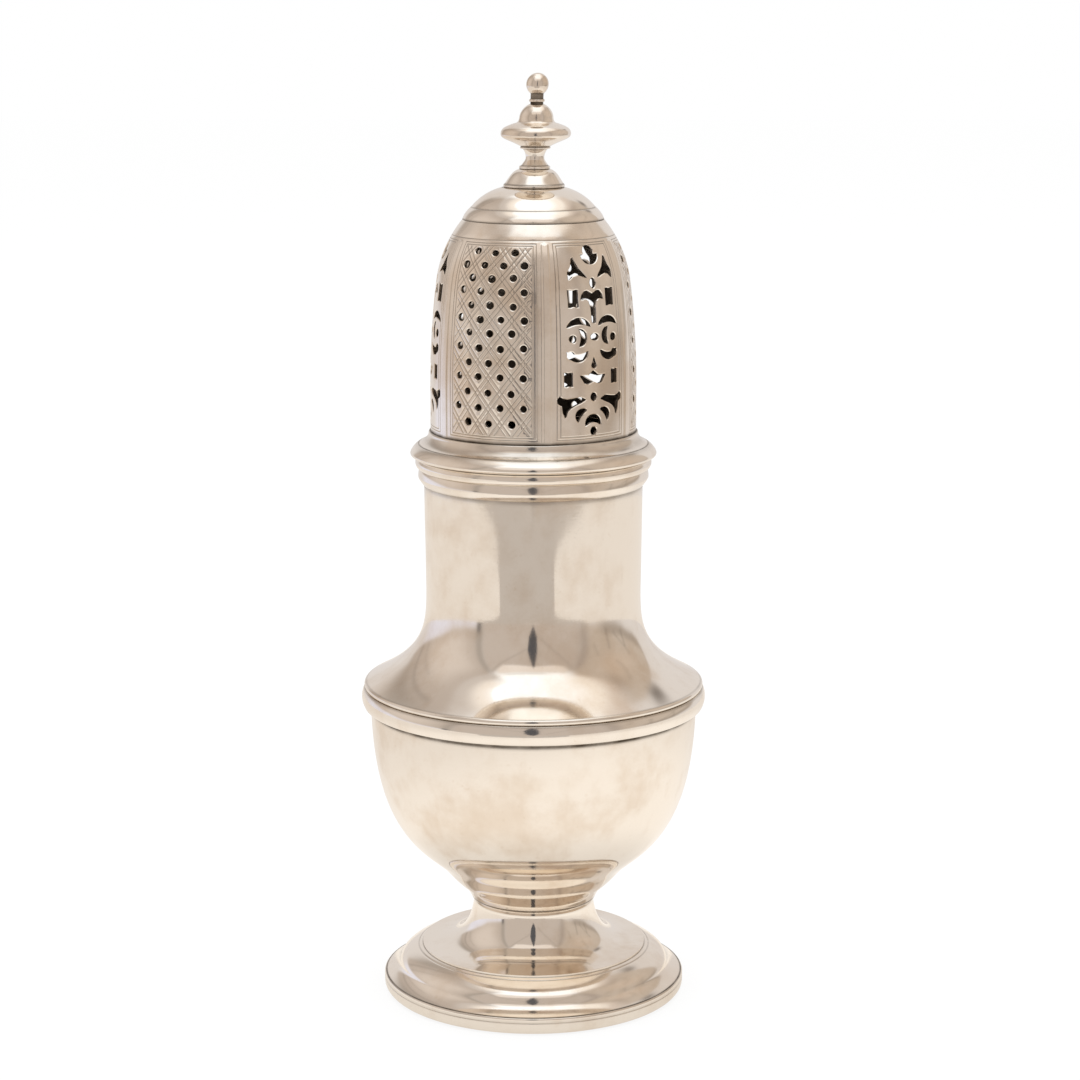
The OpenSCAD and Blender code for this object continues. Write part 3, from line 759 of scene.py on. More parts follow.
    def skin(self, rims, lines, spacing, nearness):
        """Triangles of the panel between its border and the rims of its openings. The planar
        triangulation keeps every given path as edges; what lies inside a rim is left out."""
        paths = rims + lines
        taken = joined(self.border(), *paths)
        flat = joined(taken, self.field(spacing, taken))
        start = len(self.border()) + np.cumsum([0] + [len(path) for path in paths])
        edges = []
        faces = []
        for i, path in enumerate(paths):
            ids = np.arange(start[i], start[i] + len(path))
            if i < len(rims):
                faces.append(ids.tolist() if turning(path) > 0 else ids[::-1].tolist())
            else:
                edges.extend(np.stack([ids[:-1], ids[1:]], 1).tolist())
        made = delaunay_2d_cdt(flat.tolist(), edges, faces, 0, nearness, True)
        points = np.array(made[0])
        solid = np.fromiter(map(len, made[5]), int) == 0
        triangles = np.array(made[2])[solid]
        a, b, c = (points[triangles[:, i]] for i in range(3))
        area = (b - a)[:, 0] * (c - a)[:, 1] - (b - a)[:, 1] * (c - a)[:, 0]
        return points, triangles[np.abs(area) > self.SLIVER]

    def rims_of(self, points, triangles):
        """Edges of the openings, directed with the metal on their left, and how far each of their
        points may move into its opening before it meets the other side."""
        edges = np.concatenate([triangles[:, [0, 1]], triangles[:, [1, 2]], triangles[:, [2, 0]]])
        key = edges[:, 0] * len(points) + edges[:, 1]
        back = edges[:, 1] * len(points) + edges[:, 0]
        rim = edges[~np.isin(key, back)]
        middle = points[rim].mean(1)
        inner = (
            (np.abs(middle[:, 0]) < self.half - TINY)
            & (middle[:, 1] > TINY)
            & (middle[:, 1] < self.curve.height - TINY))
        rim = rim[inner]
        along = points[rim[:, 1]] - points[rim[:, 0]]
        square = np.stack([along[:, 1], -along[:, 0]], 1)
        square /= np.linalg.norm(square, axis=1, keepdims=True)
        into = np.zeros_like(points)
        np.add.at(into, rim[:, 0], square)
        np.add.at(into, rim[:, 1], square)
        ids = np.unique(rim)
        into[ids] /= np.linalg.norm(into[ids], axis=1, keepdims=True) + TINY
        apart = points[ids][None] - points[ids][:, None]
        distance = np.linalg.norm(apart, axis=2)
        facing = (apart * into[ids][:, None]).sum(2) > self.FACING * distance
        room = np.where(facing & (distance > TINY), distance, np.inf).min(1)
        width = np.zeros(len(points))
        width[ids] = np.minimum(self.bevel, self.ROOM * room)
        return rim, into, width

    def build(self):
        """All faces of the panel: outer skin, bright bevels, walls of the openings and inner skin."""
        openings = self.openings()
        flat, skin = self.skin(openings, self.frame_lines() + self.own_lines(), self.GRID, self.SNAP)
        rim, into, width = self.rims_of(flat, skin)
        stepped = flat + into * width[:, None]
        relief = self.relief(flat)
        lift = self.curve.lift
        outer = lift(flat, self.middle, relief)
        lip = lift(stepped, self.middle, relief - self.FALL * width)
        inner = lift(stepped, self.middle, -self.wall)
        foot_dark = np.exp(-((flat[:, 1] / self.FOOT_LINE) ** 2))
        # Darker in the cuts and along the foot
        dark = np.maximum(self.CUT_DARKNESS * self.cuts(flat) / self.depth, foot_dark)
        patches = [(outer, skin, dark)]
        a, b = rim[:, 0], rim[:, 1]
        count = len(flat)
        walls = np.concatenate([outer, lip, inner])
        wall_dark = np.repeat([0, 0, self.LINING], count)
        for near, far in ((0, count), (count, 2 * count)):
            patches.append((walls, split(b + near, a + near, a + far, b + far), wall_dark))
        lining, back = self.skin(self.loops(rim, stepped), [], self.INNER_GRID, TINY)
        within = lift(lining, self.middle, -self.wall)
        patches.append((within, back[:, ::-1], np.full(len(lining), self.LINING)))
        for level, order in ((0, 1), (self.curve.height, -1)):
            ends = self.level_line(level)
            both = joined(lift(ends, self.middle, self.relief(ends)), lift(ends, self.middle, -self.wall))
            n = len(ends)
            i = np.arange(n - 1)
            patches.append((both, split(i + 1, i, i + n, i + 1 + n)[:, ::order], np.zeros(2 * n)))
        return patches

    def loops(self, rim, stepped):
        """The rims' moved points, put in order as one closed path for each opening. A path starts at the
        edge with its highest number. Every edge finds that one, and how far ahead it lies, in steps
        that double."""
        number = np.arange(len(rim))
        order = np.argsort(rim[:, 0])
        after = order[np.searchsorted(rim[:, 0], rim[:, 1], sorter=order)]
        doublings = range(len(rim).bit_length())
        start, jump = number, after
        for _ in doublings:
            start, jump = np.maximum(start, start[jump]), jump[jump]
        ahead = (start != number).astype(int)
        jump = np.where(start == number, number, after)
        for _ in doublings:
            ahead, jump = ahead + ahead[jump], jump[jump]
        ahead[start == number] = len(rim)
        order = np.lexsort((-ahead, -start))
        return np.split(stepped[rim[order, 0]], np.flatnonzero(np.diff(start[order])) + 1)


class LatticePanel(Panel):
    """Panel with rows of drilled holes, each in a diamond of engraved lines."""

    # Rows of holes: first height, last one's distance from the head, and how much each step shrinks
    ROWS = 13
    COLUMNS = 4
    LOWEST = 4.2
    HIGHEST = 5.4
    TAPER = 0.06
    # Drill: how far holes stray, the part of it that widens them, and the room for the bevel
    STRAY = 0.09
    WIDEN = 0.6
    EASE = 0.15
    # Diagonals: distance between the two cuts of a pair, and points along each
    PAIR = 0.85
    LINE_POINTS = 90

    def __init__(self, curve, sizes, width, middle, seed):
        super().__init__(curve, sizes, width, middle, seed)
        self.hole = sizes.hole / MM / 2
        self.column = sizes.hole_spacing / 2 * curve.radius
        steps = self.ROWS - 1
        rise = curve.height - self.HIGHEST - self.LOWEST
        self.step = (rise + self.TAPER * steps * (steps - 1) / 2) / steps

    def row_height(self, row):
        """Height of a row: equal steps that each shrink by the taper."""
        return self.LOWEST + row * self.step - self.TAPER * row * (row - 1) / 2

    def row_at(self, y):
        """The row's number at a height, which solves the quadratic that gives a row its height."""
        b = self.step + self.TAPER / 2
        return (b - np.sqrt(np.maximum(b * b - 2 * self.TAPER * (y - self.LOWEST), 0))) / self.TAPER

    def steepness(self, y):
        """How fast the diagonals' count grows per millimetre across the metal at a height."""
        across = self.curve.radius / self.curve.reach(y) / self.column
        b = self.step + self.TAPER / 2
        up = np.cos(self.curve.turn(y)) / (b - self.TAPER * self.row_at(y))
        return np.hypot(across, up)

    def openings(self):
        """Rows of three and four holes in turn, each a little astray as a hand drill leaves it."""
        rims = []
        for row in range(self.ROWS):
            count = self.COLUMNS - 1 + row % 2
            y = self.row_height(row)
            for i in range(count):
                x = (2 * i - count + 1) * self.column
                dx, dy, grow = self.random.normal(0, self.STRAY, 3)
                radius = self.hole + self.WIDEN * grow + self.EASE
                widen = self.curve.radius / self.curve.reach(y)
                squash = np.cos(self.curve.turn(y))
                rims.append(ring_of((0, 0), radius) * (widen, squash) + (x + dx, y + dy))
        return rims

    def bounds(self):
        """Half width, foot and head of the field inside the inner frame."""
        inset = self.half - self.FRAME_X[1] - self.cut
        return inset, self.FRAME_FOOT[1] + self.cut, self.FRAME_HEAD[1] - self.cut

    def own_lines(self):
        """Diagonals midway between the holes, each a pair of cuts: across = odd number +- row."""
        limit, low, high = self.bounds()
        y = np.linspace(low, high, self.LINE_POINTS)
        row, steep = self.row_at(y), self.steepness(y)
        paths = []
        for odd in range(1 - 2 * self.ROWS, 2 * self.ROWS, 2):
            for pair in (-0.5, 0.5):
                for side in (-0.5, 0, 0.5):
                    number = odd + (pair * self.PAIR + side * self.cut) * steep
                    for sign in (-1, 1):
                        x = sign * (number - row) * self.column
                        inside = np.abs(x) <= limit
                        if inside.sum() > 2:
                            paths.append(np.stack([x, y], 1)[inside])
        return paths

    def own_depth(self, flat):
        """A V cut at half a pair's width from the nearest diagonal, on either side of it."""
        limit, low, high = self.bounds()
        y = np.clip(flat[:, 1], low, high)
        row, steep = self.row_at(y), self.steepness(y)
        deepest = np.zeros(len(flat))
        for sign in (-1, 1):
            count = sign * flat[:, 0] / self.column + row
            away = (count - (2 * np.round((count - 1) / 2) + 1)) / steep
            deepest = np.maximum(deepest, self.groove(np.abs(away) - self.PAIR / 2))
        out = np.stack([np.abs(flat[:, 0]) - limit, low - flat[:, 1], flat[:, 1] - high])
        return deepest * (out.max(0) <= TINY)


class ScrollPanel(Panel):
    """Panel with pierced scrolls. They are drawn flat before the dome, so an opening's distance from
    the middle line is the sine of its angle times the dome's radius at that height. The hand that
    cut them strayed to one side as it went up."""

    DRIFT = ((0, 14, 20, 30, 38), (0, 0, 0.5, 0.5, 0.9))
    GROWTH = 0.3
    STRAY = 0.05

    def openings(self):
        """The drawn openings, grown by the saw's width, strayed and bent on to the dome."""
        rims = []
        for shape in scroll_openings():
            shape = grown(shape, self.GROWTH) + self.random.normal(0, self.STRAY, 2)
            shape[:, 0] += np.interp(shape[:, 1].mean(), *self.DRIFT)
            angle = np.arcsin(np.clip(shape[:, 0] / self.curve.reach(shape[:, 1]), -1, 1))
            rims.append(np.stack([angle * self.curve.radius, shape[:, 1]], 1))
        return rims


FIRST_STRAP = math.radians(7.4 - 90)
LATTICE_ANGLE = math.radians(65)
PAIR_ANGLE = math.radians(120)
DOME_CREASE = math.radians(26)
WELD = 0.002


def welded(patches):
    """All patches as one mesh and its marks. Points that share a cell of a fine grid become one; the
    grid is laid three times, each time shifted, so that no pair stays parted by a cell's edge."""
    points = np.concatenate([patch[0] for patch in patches])
    marks = np.concatenate([patch[2] for patch in patches])
    starts = np.cumsum([0] + [len(patch[0]) for patch in patches])
    faces = np.concatenate([patch[1] + start for patch, start in zip(patches, starts)])
    for shift in (0, 1 / 3, 2 / 3):
        grid = np.floor(points / WELD + shift).astype(np.int64)
        _, first, same = np.unique(grid, axis=0, return_index=True, return_inverse=True)
        points, marks, faces = points[first], marks[first], same.reshape(-1)[faces]
    whole = (faces != np.roll(faces, 1, 1)).all(1)
    used, faces = np.unique(faces[whole], return_inverse=True)
    return points[used], faces.reshape(-1, 3), marks[used]


class CASTER_OT_dome(bpy.types.Operator):
    """Pierced dome: three lattice panels and three scrolled panels between raised straps"""

    bl_idname = "caster.dome"
    bl_label = "Pierced dome"

    def execute(self, context):
        sizes = context.scene.caster_sizes
        curve = DomeCurve(sizes)
        patches = []
        scroll_angle = PAIR_ANGLE - LATTICE_ANGLE
        for pair in range(3):
            strap = FIRST_STRAP + pair * PAIR_ANGLE
            lattice = LatticePanel(curve, sizes, LATTICE_ANGLE, strap - LATTICE_ANGLE / 2, 11 + pair)
            scroll = ScrollPanel(curve, sizes, scroll_angle, strap + scroll_angle / 2, 21 + pair)
            patches += lattice.build() + scroll.build()
        points, faces, dark = welded(patches)
        mesh = new_mesh("dome_shell", points, [faces], {"oxide_and_shade": dark}, DOME_CREASE)
        piece = place("dome_shell", mesh, silver_finish(context, "pierced_silver"))
        dress(piece, "cover", "pierced_dome")
        return {"FINISHED"}


# Turned pieces


class CASTER_OT_foot(bpy.types.Operator):
    """Foot: the edge wire, the moulded border and the trumpet that carries the bowl"""

    bl_idname = "caster.foot"
    bl_label = "Foot"

    # Wire: width, rounding of its foot and shoulder, depth and height of the line round it
    WIRE_WIDTH = 2.6
    WIRE_ROUND = 1.8
    WIRE_SHOULDER = 0.45
    WIRE_LINE = (0.1, 2.78)
    # Border: steepest point, inwards and up from its edge, and the scored line's radius, width and depth
    STEEP = (3.0, 2.4)
    SCORE = (25.4, 0.3, 0.1)
    # Trumpet: the step at its foot, below and above the solid's joint, its waist and its seat
    STEP = (0.3, 0.1)
    WAIST = (13.2, 19.5)
    SEAT = 13.7

    def execute(self, context):
        sheet = context.scene.caster_sizes.sheet / MM
        wire_head, edge = span("foot_rim_wire")[1:]
        inner = edge - self.WIRE_WIDTH
        depth, line = self.WIRE_LINE
        foot, shoulder = self.WIRE_ROUND, self.WIRE_SHOULDER
        wire = joined(
            (inner, 0), arc((edge - foot, foot), foot, -90, 0),
            (edge, line - depth), (edge - depth, line), (edge, line + depth),
            arc((edge - shoulder, wire_head - shoulder), shoulder, 0, 90, 8), (inner, wire_head))
        low, high, wide = span("foot_border")
        turned_piece(
            context, "rim_wire", wire, "vessel", "foot_rim_wire", "silver_moulding",
            [(wide, wire_head, 0.9), (edge - depth, line, 0.25)])
        _, head, step = span("foot_trumpet")
        steep = (wide - self.STEEP[0], low + self.STEEP[1])
        top = high - self.STEP[0]
        face = joined(
            sweep((wide, low), steep, (0.4, 0.22), (0.12, 0.423), 50),
            sweep(steep, (step, top), (0.11, 0.43), (0.5, 0.26), 60)[1:])
        back = beside(sweep((wide, low), (step, top), (0.24, 0.08), (0.55, 0.22), 40), sheet)[::-1]
        back[:, 1] = np.maximum(back[:, 1], low)
        border = joined(scored(face, *self.SCORE), back)
        turned_piece(
            context, "border_ogee", border, "vessel", "foot_border", "silver_moulding",
            [(wide, low, 0.9), (self.SCORE[0], top - 0.35, 0.4, 0.15), (step, top, 0.5, 0.15)], 0.3)
        bell = sweep((step, high + self.STEP[1]), self.WAIST, (0.41, 0.0), (0.1, 0.95), 120)
        collar = sweep(self.WAIST, (self.SEAT, head), (0, 0.4), (0.5, 0.3), 12)
        face = joined(bell, collar[1:])
        back = np.minimum(beside(face, sheet)[::-1], (step, head))
        turned_piece(
            context, "trumpet", joined(face, back), "vessel", "foot_trumpet", "polished_silver",
            [(step, top, 0.4), (self.SEAT, head)], 0.4)
        return {"FINISHED"}


class CASTER_OT_bowl(bpy.types.Operator):
    """Bowl with the girdle moulding round its upper edge"""

    bl_idname = "caster.bowl"
    bl_label = "Bowl and girdle"

    # Where the hollow flare turns into the belly, thickness of the floor, and swell of the girdle
    FLARE = (19.6, 6.7)
    FLOOR = 1.4
    GIRDLE_SWELL = 0.6

    def execute(self, context):
        sheet = context.scene.caster_sizes.sheet / MM
        low, high, wide = span("bowl")
        girdle_low, girdle_high, girdle_wide = span("girdle_moulding")
        turn = (self.FLARE[0], low + self.FLARE[1])
        seat = CASTER_OT_foot.SEAT
        flare = sweep((seat, low), turn, (0.27, 0.48), (0.76, 0.79), 24)
        belly = sweep(turn, (wide, girdle_low), (0.27, 0.13), (0.03, 0.8), 70)
        face = joined(flare, belly[1:], (wide, high))
        back = beside(joined(flare, belly[1:]), sheet)[::-1]
        back = back[back[:, 1] > low + self.FLOOR]
        outline = joined((0, low), face, (wide - sheet, high), back, (0, low + self.FLOOR))
        # The first joint is painted shade in the crease under the girdle
        turned_piece(
            context, "bowl_shell", outline, "vessel", "bowl", "polished_silver",
            [(wide, girdle_low - 0.55, 1.0, 0.5), (seat, low)], 0.45)
        outside = swell(girdle_wide, girdle_low, girdle_high, self.GIRDLE_SWELL)
        girdle = joined((wide, girdle_low), outside, (wide, girdle_high))
        lip = span("neck_shell")[2]
        # The joint at the girdle's foot is painted shade where it overhangs the bowl
        turned_piece(
            context, "girdle", girdle, "vessel", "girdle_moulding", "silver_moulding",
            [(wide, girdle_low, 0.9), (lip, girdle_high, 0.45, 0.3)], 0.3)
        return {"FINISHED"}


class CASTER_OT_neck(bpy.types.Operator):
    """Neck: the lip and hollow shoulder, the straight neck, and the reeding round the mouth"""

    bl_idname = "caster.neck"
    bl_label = "Neck and reeding"

    # Lip: height and swell. Shoulder: where it meets the neck. Throat, and the bored mouth.
    LIP = 1.3
    LIP_SWELL = 0.45
    SHOULDER = (23.2, 21.5)
    THROAT = 23.5
    MOUTH = 22.0
    MOUTH_DEPTH = 12.0
    # Upper reed: height and swell. Taper below it: how proud, how high and how far in again.
    REED = (2.35, 0.6)
    TAPER = (1.25, 1.75, 0.45)

    def execute(self, context):
        sheet = context.scene.caster_sizes.sheet / MM
        low, high, lip = span("neck_shell")
        bowl_wall = span("bowl")[2] - sheet
        reed_low, reed_high, reed_wide = span("neck_reeding")
        edge = (lip - self.LIP_SWELL, low + self.LIP)
        start = (self.SHOULDER[0], low + self.SHOULDER[1])
        shoulder = sweep(edge, start, (0.95, 0.31), (0, 0.44), 70)
        face = joined(shoulder, (self.THROAT, reed_low))
        back = beside(face, sheet)[::-1]
        back = back[(back[:, 1] < high - self.MOUTH_DEPTH) & (back[:, 0] < bowl_wall)]
        outline = joined(
            (bowl_wall, low), swell(lip, low, low + self.LIP, self.LIP_SWELL, 12), shoulder[1:],
            (self.THROAT, reed_low), (self.THROAT, high), (self.MOUTH, high),
            (self.MOUTH, high - self.MOUTH_DEPTH), back)
        # The joint at the throat is painted shade under the reeding, brownish like tarnish
        turned_piece(
            context, "neck", outline, "vessel", "neck_shell", "polished_silver",
            [(lip, low, 0.5, 0.25), (*edge, 0.3), (self.THROAT, reed_low, 0.45, 0.6)], 0.5)
        reed_h, reed_swell = self.REED
        proud, rise, inset = self.TAPER
        reed_foot = reed_high - reed_h
        widest = (self.THROAT + proud, reed_low + rise)
        under = sweep((self.THROAT, reed_low), widest, (0.16, 0), (0, 0.15), 16)
        over = sweep(widest, (widest[0] - inset, reed_foot), (0, 0.5), (0.6, 0.1), 12)
        reed = swell(reed_wide, reed_foot, reed_high, reed_swell)
        reeding = joined(under, over[1:], reed, (self.THROAT, reed_high))
        # The first of these is the same painted shade under the reeds
        grooves = [
            (self.THROAT + 0.1, reed_low, 0.4, 0.4), (widest[0] - inset, reed_foot, 0.5),
            (reed_wide - reed_swell, reed_high, 0.9)]
        turned_piece(context, "reeding", reeding, "vessel", "neck_reeding", "silver_moulding", grooves, 0.25)
        return {"FINISHED"}


class CASTER_OT_cover(bpy.types.Operator):
    """Base of the cover: the bezel that enters the mouth, the rounded rim and the hollow moulding"""

    bl_idname = "caster.cover"
    bl_label = "Base of the cover"

    # Bezel: wall and leading bevel. Rim: height of its nose. Cavetto: quarter round at its head.
    BEZEL_WALL = 0.8
    BEZEL_LEAD = 0.4
    NOSE = 0.85
    LEDGE = 0.45

    def execute(self, context):
        low, high, wide = span("cover_bezel")
        inner = wide - self.BEZEL_WALL
        bezel = np.array([
            (inner, low), (wide - self.BEZEL_LEAD, low), (wide, low + self.BEZEL_LEAD),
            (wide, high), (inner, high)])
        turned_piece(context, "bezel", bezel, "cover", "cover_bezel", "polished_silver")
        rim_low, rim_high, rim_wide = span("cover_rim_moulding")
        reed_wide = span("neck_reeding")[2] - CASTER_OT_neck.REED[1]
        hollow_low, hollow_high, hollow_wide = span("cover_cavetto")
        nose = (rim_wide, rim_low + self.NOSE)
        over = sweep((hollow_wide, rim_high), nose, (0.5, 0.2), (0, 0.22), 30)[::-1]
        under = sweep((reed_wide, rim_low), nose, (0.6, 0), (0, 0.5), 14)
        rim = joined((wide, rim_low), under, over[1:], (wide, rim_high))
        # The joint under the rim is painted shade in the gap between the cover and the reeding
        turned_piece(
            context, "cover_rim", rim, "cover", "cover_rim_moulding", "silver_moulding",
            [(reed_wide, rim_low, 0.9), (hollow_wide, rim_high), (hollow_wide, rim_high, 0.25, 1.0)], 0.2)
        dome_foot = context.scene.caster_sizes.dome_radius / MM
        ledge = arc((dome_foot, hollow_high - self.LEDGE), self.LEDGE, 0, 90, 8)
        hollow = sweep((hollow_wide, hollow_low), ledge[0], (0.55, 0.2), (0, 0.45), 24)
        outline = joined((wide, hollow_low), hollow, ledge[1:], (wide, hollow_high))
        inmost = hollow[len(hollow) // 2]
        turned_piece(
            context, "cavetto", outline, "cover", "cover_cavetto", "silver_moulding",
            [(dome_foot + 0.1, hollow_high, 0.9, 0.25), (hollow_wide, hollow_low), (*inmost, 0.25, 1.2)], 0.2)
        return {"FINISHED"}


class CASTER_OT_cap(bpy.types.Operator):
    """Cap: the moulded band on the dome and the low dome above it"""

    bl_idname = "caster.cap"
    bl_label = "Cap"

    # Width of the band, radius under the pedestal, bore for the peg, and wall
    BAND_WIDTH = 1.9
    PLINTH = 6.5
    PEG_HOLE = 1.3
    WALL = 0.9

    def execute(self, context):
        low, high, wide = span("cap_band")
        cap_high, cap_wide = span("cap_dome")[1:]
        slope = wide - cap_wide
        band = sweep((wide, low), (cap_wide, high), (0.1, 0.35), (0.45, 0.25), 20)
        outline = joined(band, (cap_wide - self.BAND_WIDTH + slope / 2, high), (wide - self.BAND_WIDTH, low))
        turned_piece(
            context, "cap_moulding", outline, "cover", "cap_band", "silver_moulding",
            [(wide, low, 1.0, 0.3), (cap_wide, high, 0.4)], 0.25)
        face = sweep((cap_wide, high), (self.PLINTH, cap_high), (0.25, 0.5), (0.39, 0.14), 40)
        back = beside(face, self.WALL)[::-1]
        back = back[(back[:, 1] > high) & (back[:, 1] < cap_high - self.WALL)]
        outline = joined(
            face, (self.PEG_HOLE, cap_high), (self.PEG_HOLE, cap_high - self.WALL), back, (back[-1, 0], high))
        turned_piece(
            context, "cap_crown", outline, "cover", "cap_dome", "polished_silver",
            [(cap_wide, high, 0.4), (self.PLINTH, cap_high)], 0.3)
        return {"FINISHED"}


class CASTER_OT_finial(bpy.types.Operator):
    """Finial: the pedestal with its two fillets, and the turned baluster, disc, bell and ball"""

    bl_idname = "caster.finial"
    bl_label = "Finial"

    # Pedestal: radius of its head ring and height of its fillets
    RING = 3.3
    FILLET = 0.7
    # Finial: radii of peg, stem and ball; rivet, neck and bead as radius and height; collar as radius,
    # place and height; disc's height below and above its edge; bell as radius, height and head radius,
    # with its skirt out and down and its hip in and up; groove as radius and its two heights
    PEG = 1.2
    RIVET = (2.3, 0.8)
    STEM = 2.9
    STEM_NECK = (1.95, 1.8)
    COLLAR = (3.2, 3.55, 0.45)
    DISC = (2.65, 2.25)
    BELL = (3.7, 3.9, 1.5)
    SKIRT = (0.95, 0.08)
    HIP = (0.12, 1.1)
    GROOVE = (1.35, 0.45, 1.15)
    BEAD = (1.65, 0.6)
    BALL = 2.35

    def execute(self, context):
        low, high, plinth = span("finial_pedestal")
        lean_from = span("cap_dome")[0]
        hole = CASTER_OT_cap.PEG_HOLE
        fillet, ring = self.FILLET, self.RING
        hollow_foot, hollow_head = (plinth - fillet / 3, low + fillet), (ring, high - fillet)
        side = sweep(hollow_foot, hollow_head, (0.35, 0.45), (0.51, 0.17), 24)
        outline = joined(
            (hole, low), swell(plinth, low, low + fillet, fillet / 3, 10), side,
            swell(ring, high - fillet, high, fillet / 3, 10), (hole, high))
        turned_piece(
            context, "pedestal", outline, "cover", "finial_pedestal", "turned_silver",
            [(plinth, low), hollow_foot, (ring - 0.2, high - fillet), (self.STEM, high)],
            0.2, 0.5, lean_from)
        turned_piece(
            context, "finial_turned", self.profile(high), "cover", "finial", "turned_silver",
            self.grooves(high), 0.2, 0.5, lean_from)
        return {"FINISHED"}

    def heights(self, foot):
        """Heights of the collar's head, the disc's edge, the bell's foot and head, the bead's foot and
        the ball's foot."""
        collar = foot + self.COLLAR[1] + self.COLLAR[2]
        edge = collar + self.DISC[0]
        bell = edge + self.DISC[1]
        bell_head = bell + self.BELL[1]
        bead = bell_head + self.GROOVE[1]
        return collar, edge, bell, bell_head, bead, bead + self.BEAD[1] + self.GROOVE[2]

    def profile(self, foot):
        """Outline from the riveted peg up: stem, collar, disc, bell, bead and ball."""
        collar, edge, bell, bell_head, bead, ball_foot = self.heights(foot)
        rivet_low, _, disc_wide = span("finial")
        neck = (self.STEM_NECK[0], foot + self.STEM_NECK[1])
        collar_r, collar_z, collar_h = self.COLLAR
        bell_r, _, bell_top_r = self.BELL
        stem = sweep((self.STEM, foot), neck, (0.9, 0.7), (0, 0.33), 16)
        throat = sweep(neck, (collar_r - collar_h, foot + collar_z), (0, 0.45), (0.34, 0.05), 14)
        ring = swell(collar_r, foot + collar_z, collar, collar_h / 3, 8)
        under = sweep((collar_r - collar_h / 3, collar), (disc_wide, edge), (0.58, 0.54), (0, 0.43), 24)
        skirt = (bell_r + self.SKIRT[0], bell - self.SKIRT[1])
        hip = (bell_r - self.HIP[0], bell + self.HIP[1])
        over = sweep((disc_wide, edge), skirt, (0, 0.61), (0.5, 0.25), 24)
        flare = sweep(skirt, hip, (0.75, 0.1), (0.1, 0.6), 12)
        bell_side = joined(flare, sweep(hip, (bell_top_r, bell_head), (0.02, 0.45), (0.45, 0.12), 24)[1:])
        groove = self.GROOVE[0]
        sink = self.BALL - math.sqrt(self.BALL**2 - groove**2)
        foot_angle = -math.degrees(math.acos(groove / self.BALL))
        ball = arc((0, ball_foot - sink + self.BALL), self.BALL, foot_angle, 90, 40)
        ball[-1, 0] = 0
        return joined(
            (0, rivet_low), (self.RIVET[0], rivet_low), (self.RIVET[0], rivet_low + self.RIVET[1]),
            (self.PEG, rivet_low + self.RIVET[1]), (self.PEG, foot), stem, throat[1:], ring, under[1:],
            over[1:], bell_side[1:], (groove, bell_head), (groove, bead),
            swell(self.BEAD[0], bead, bead + self.BEAD[1], self.BEAD[1] / 3, 10),
            (groove, bead + self.BEAD[1]), ball)

    def grooves(self, foot):
        """Joints and grooves of the finial that hold dark deposit."""
        collar, _, _, bell_head, bead, ball_foot = self.heights(foot)
        groove, collar_r = self.GROOVE[0], self.COLLAR[0]
        deep = [(groove, z, 1.0) for z in np.linspace(bell_head + 0.1, bead - 0.05, 4)]
        deep += [(groove, z, 1.0) for z in np.linspace(bead + self.BEAD[1] + 0.1, ball_foot, 6)]
        return deep + [(self.STEM, foot), (collar_r - 0.5, foot + self.COLLAR[1]), (collar_r, collar)]


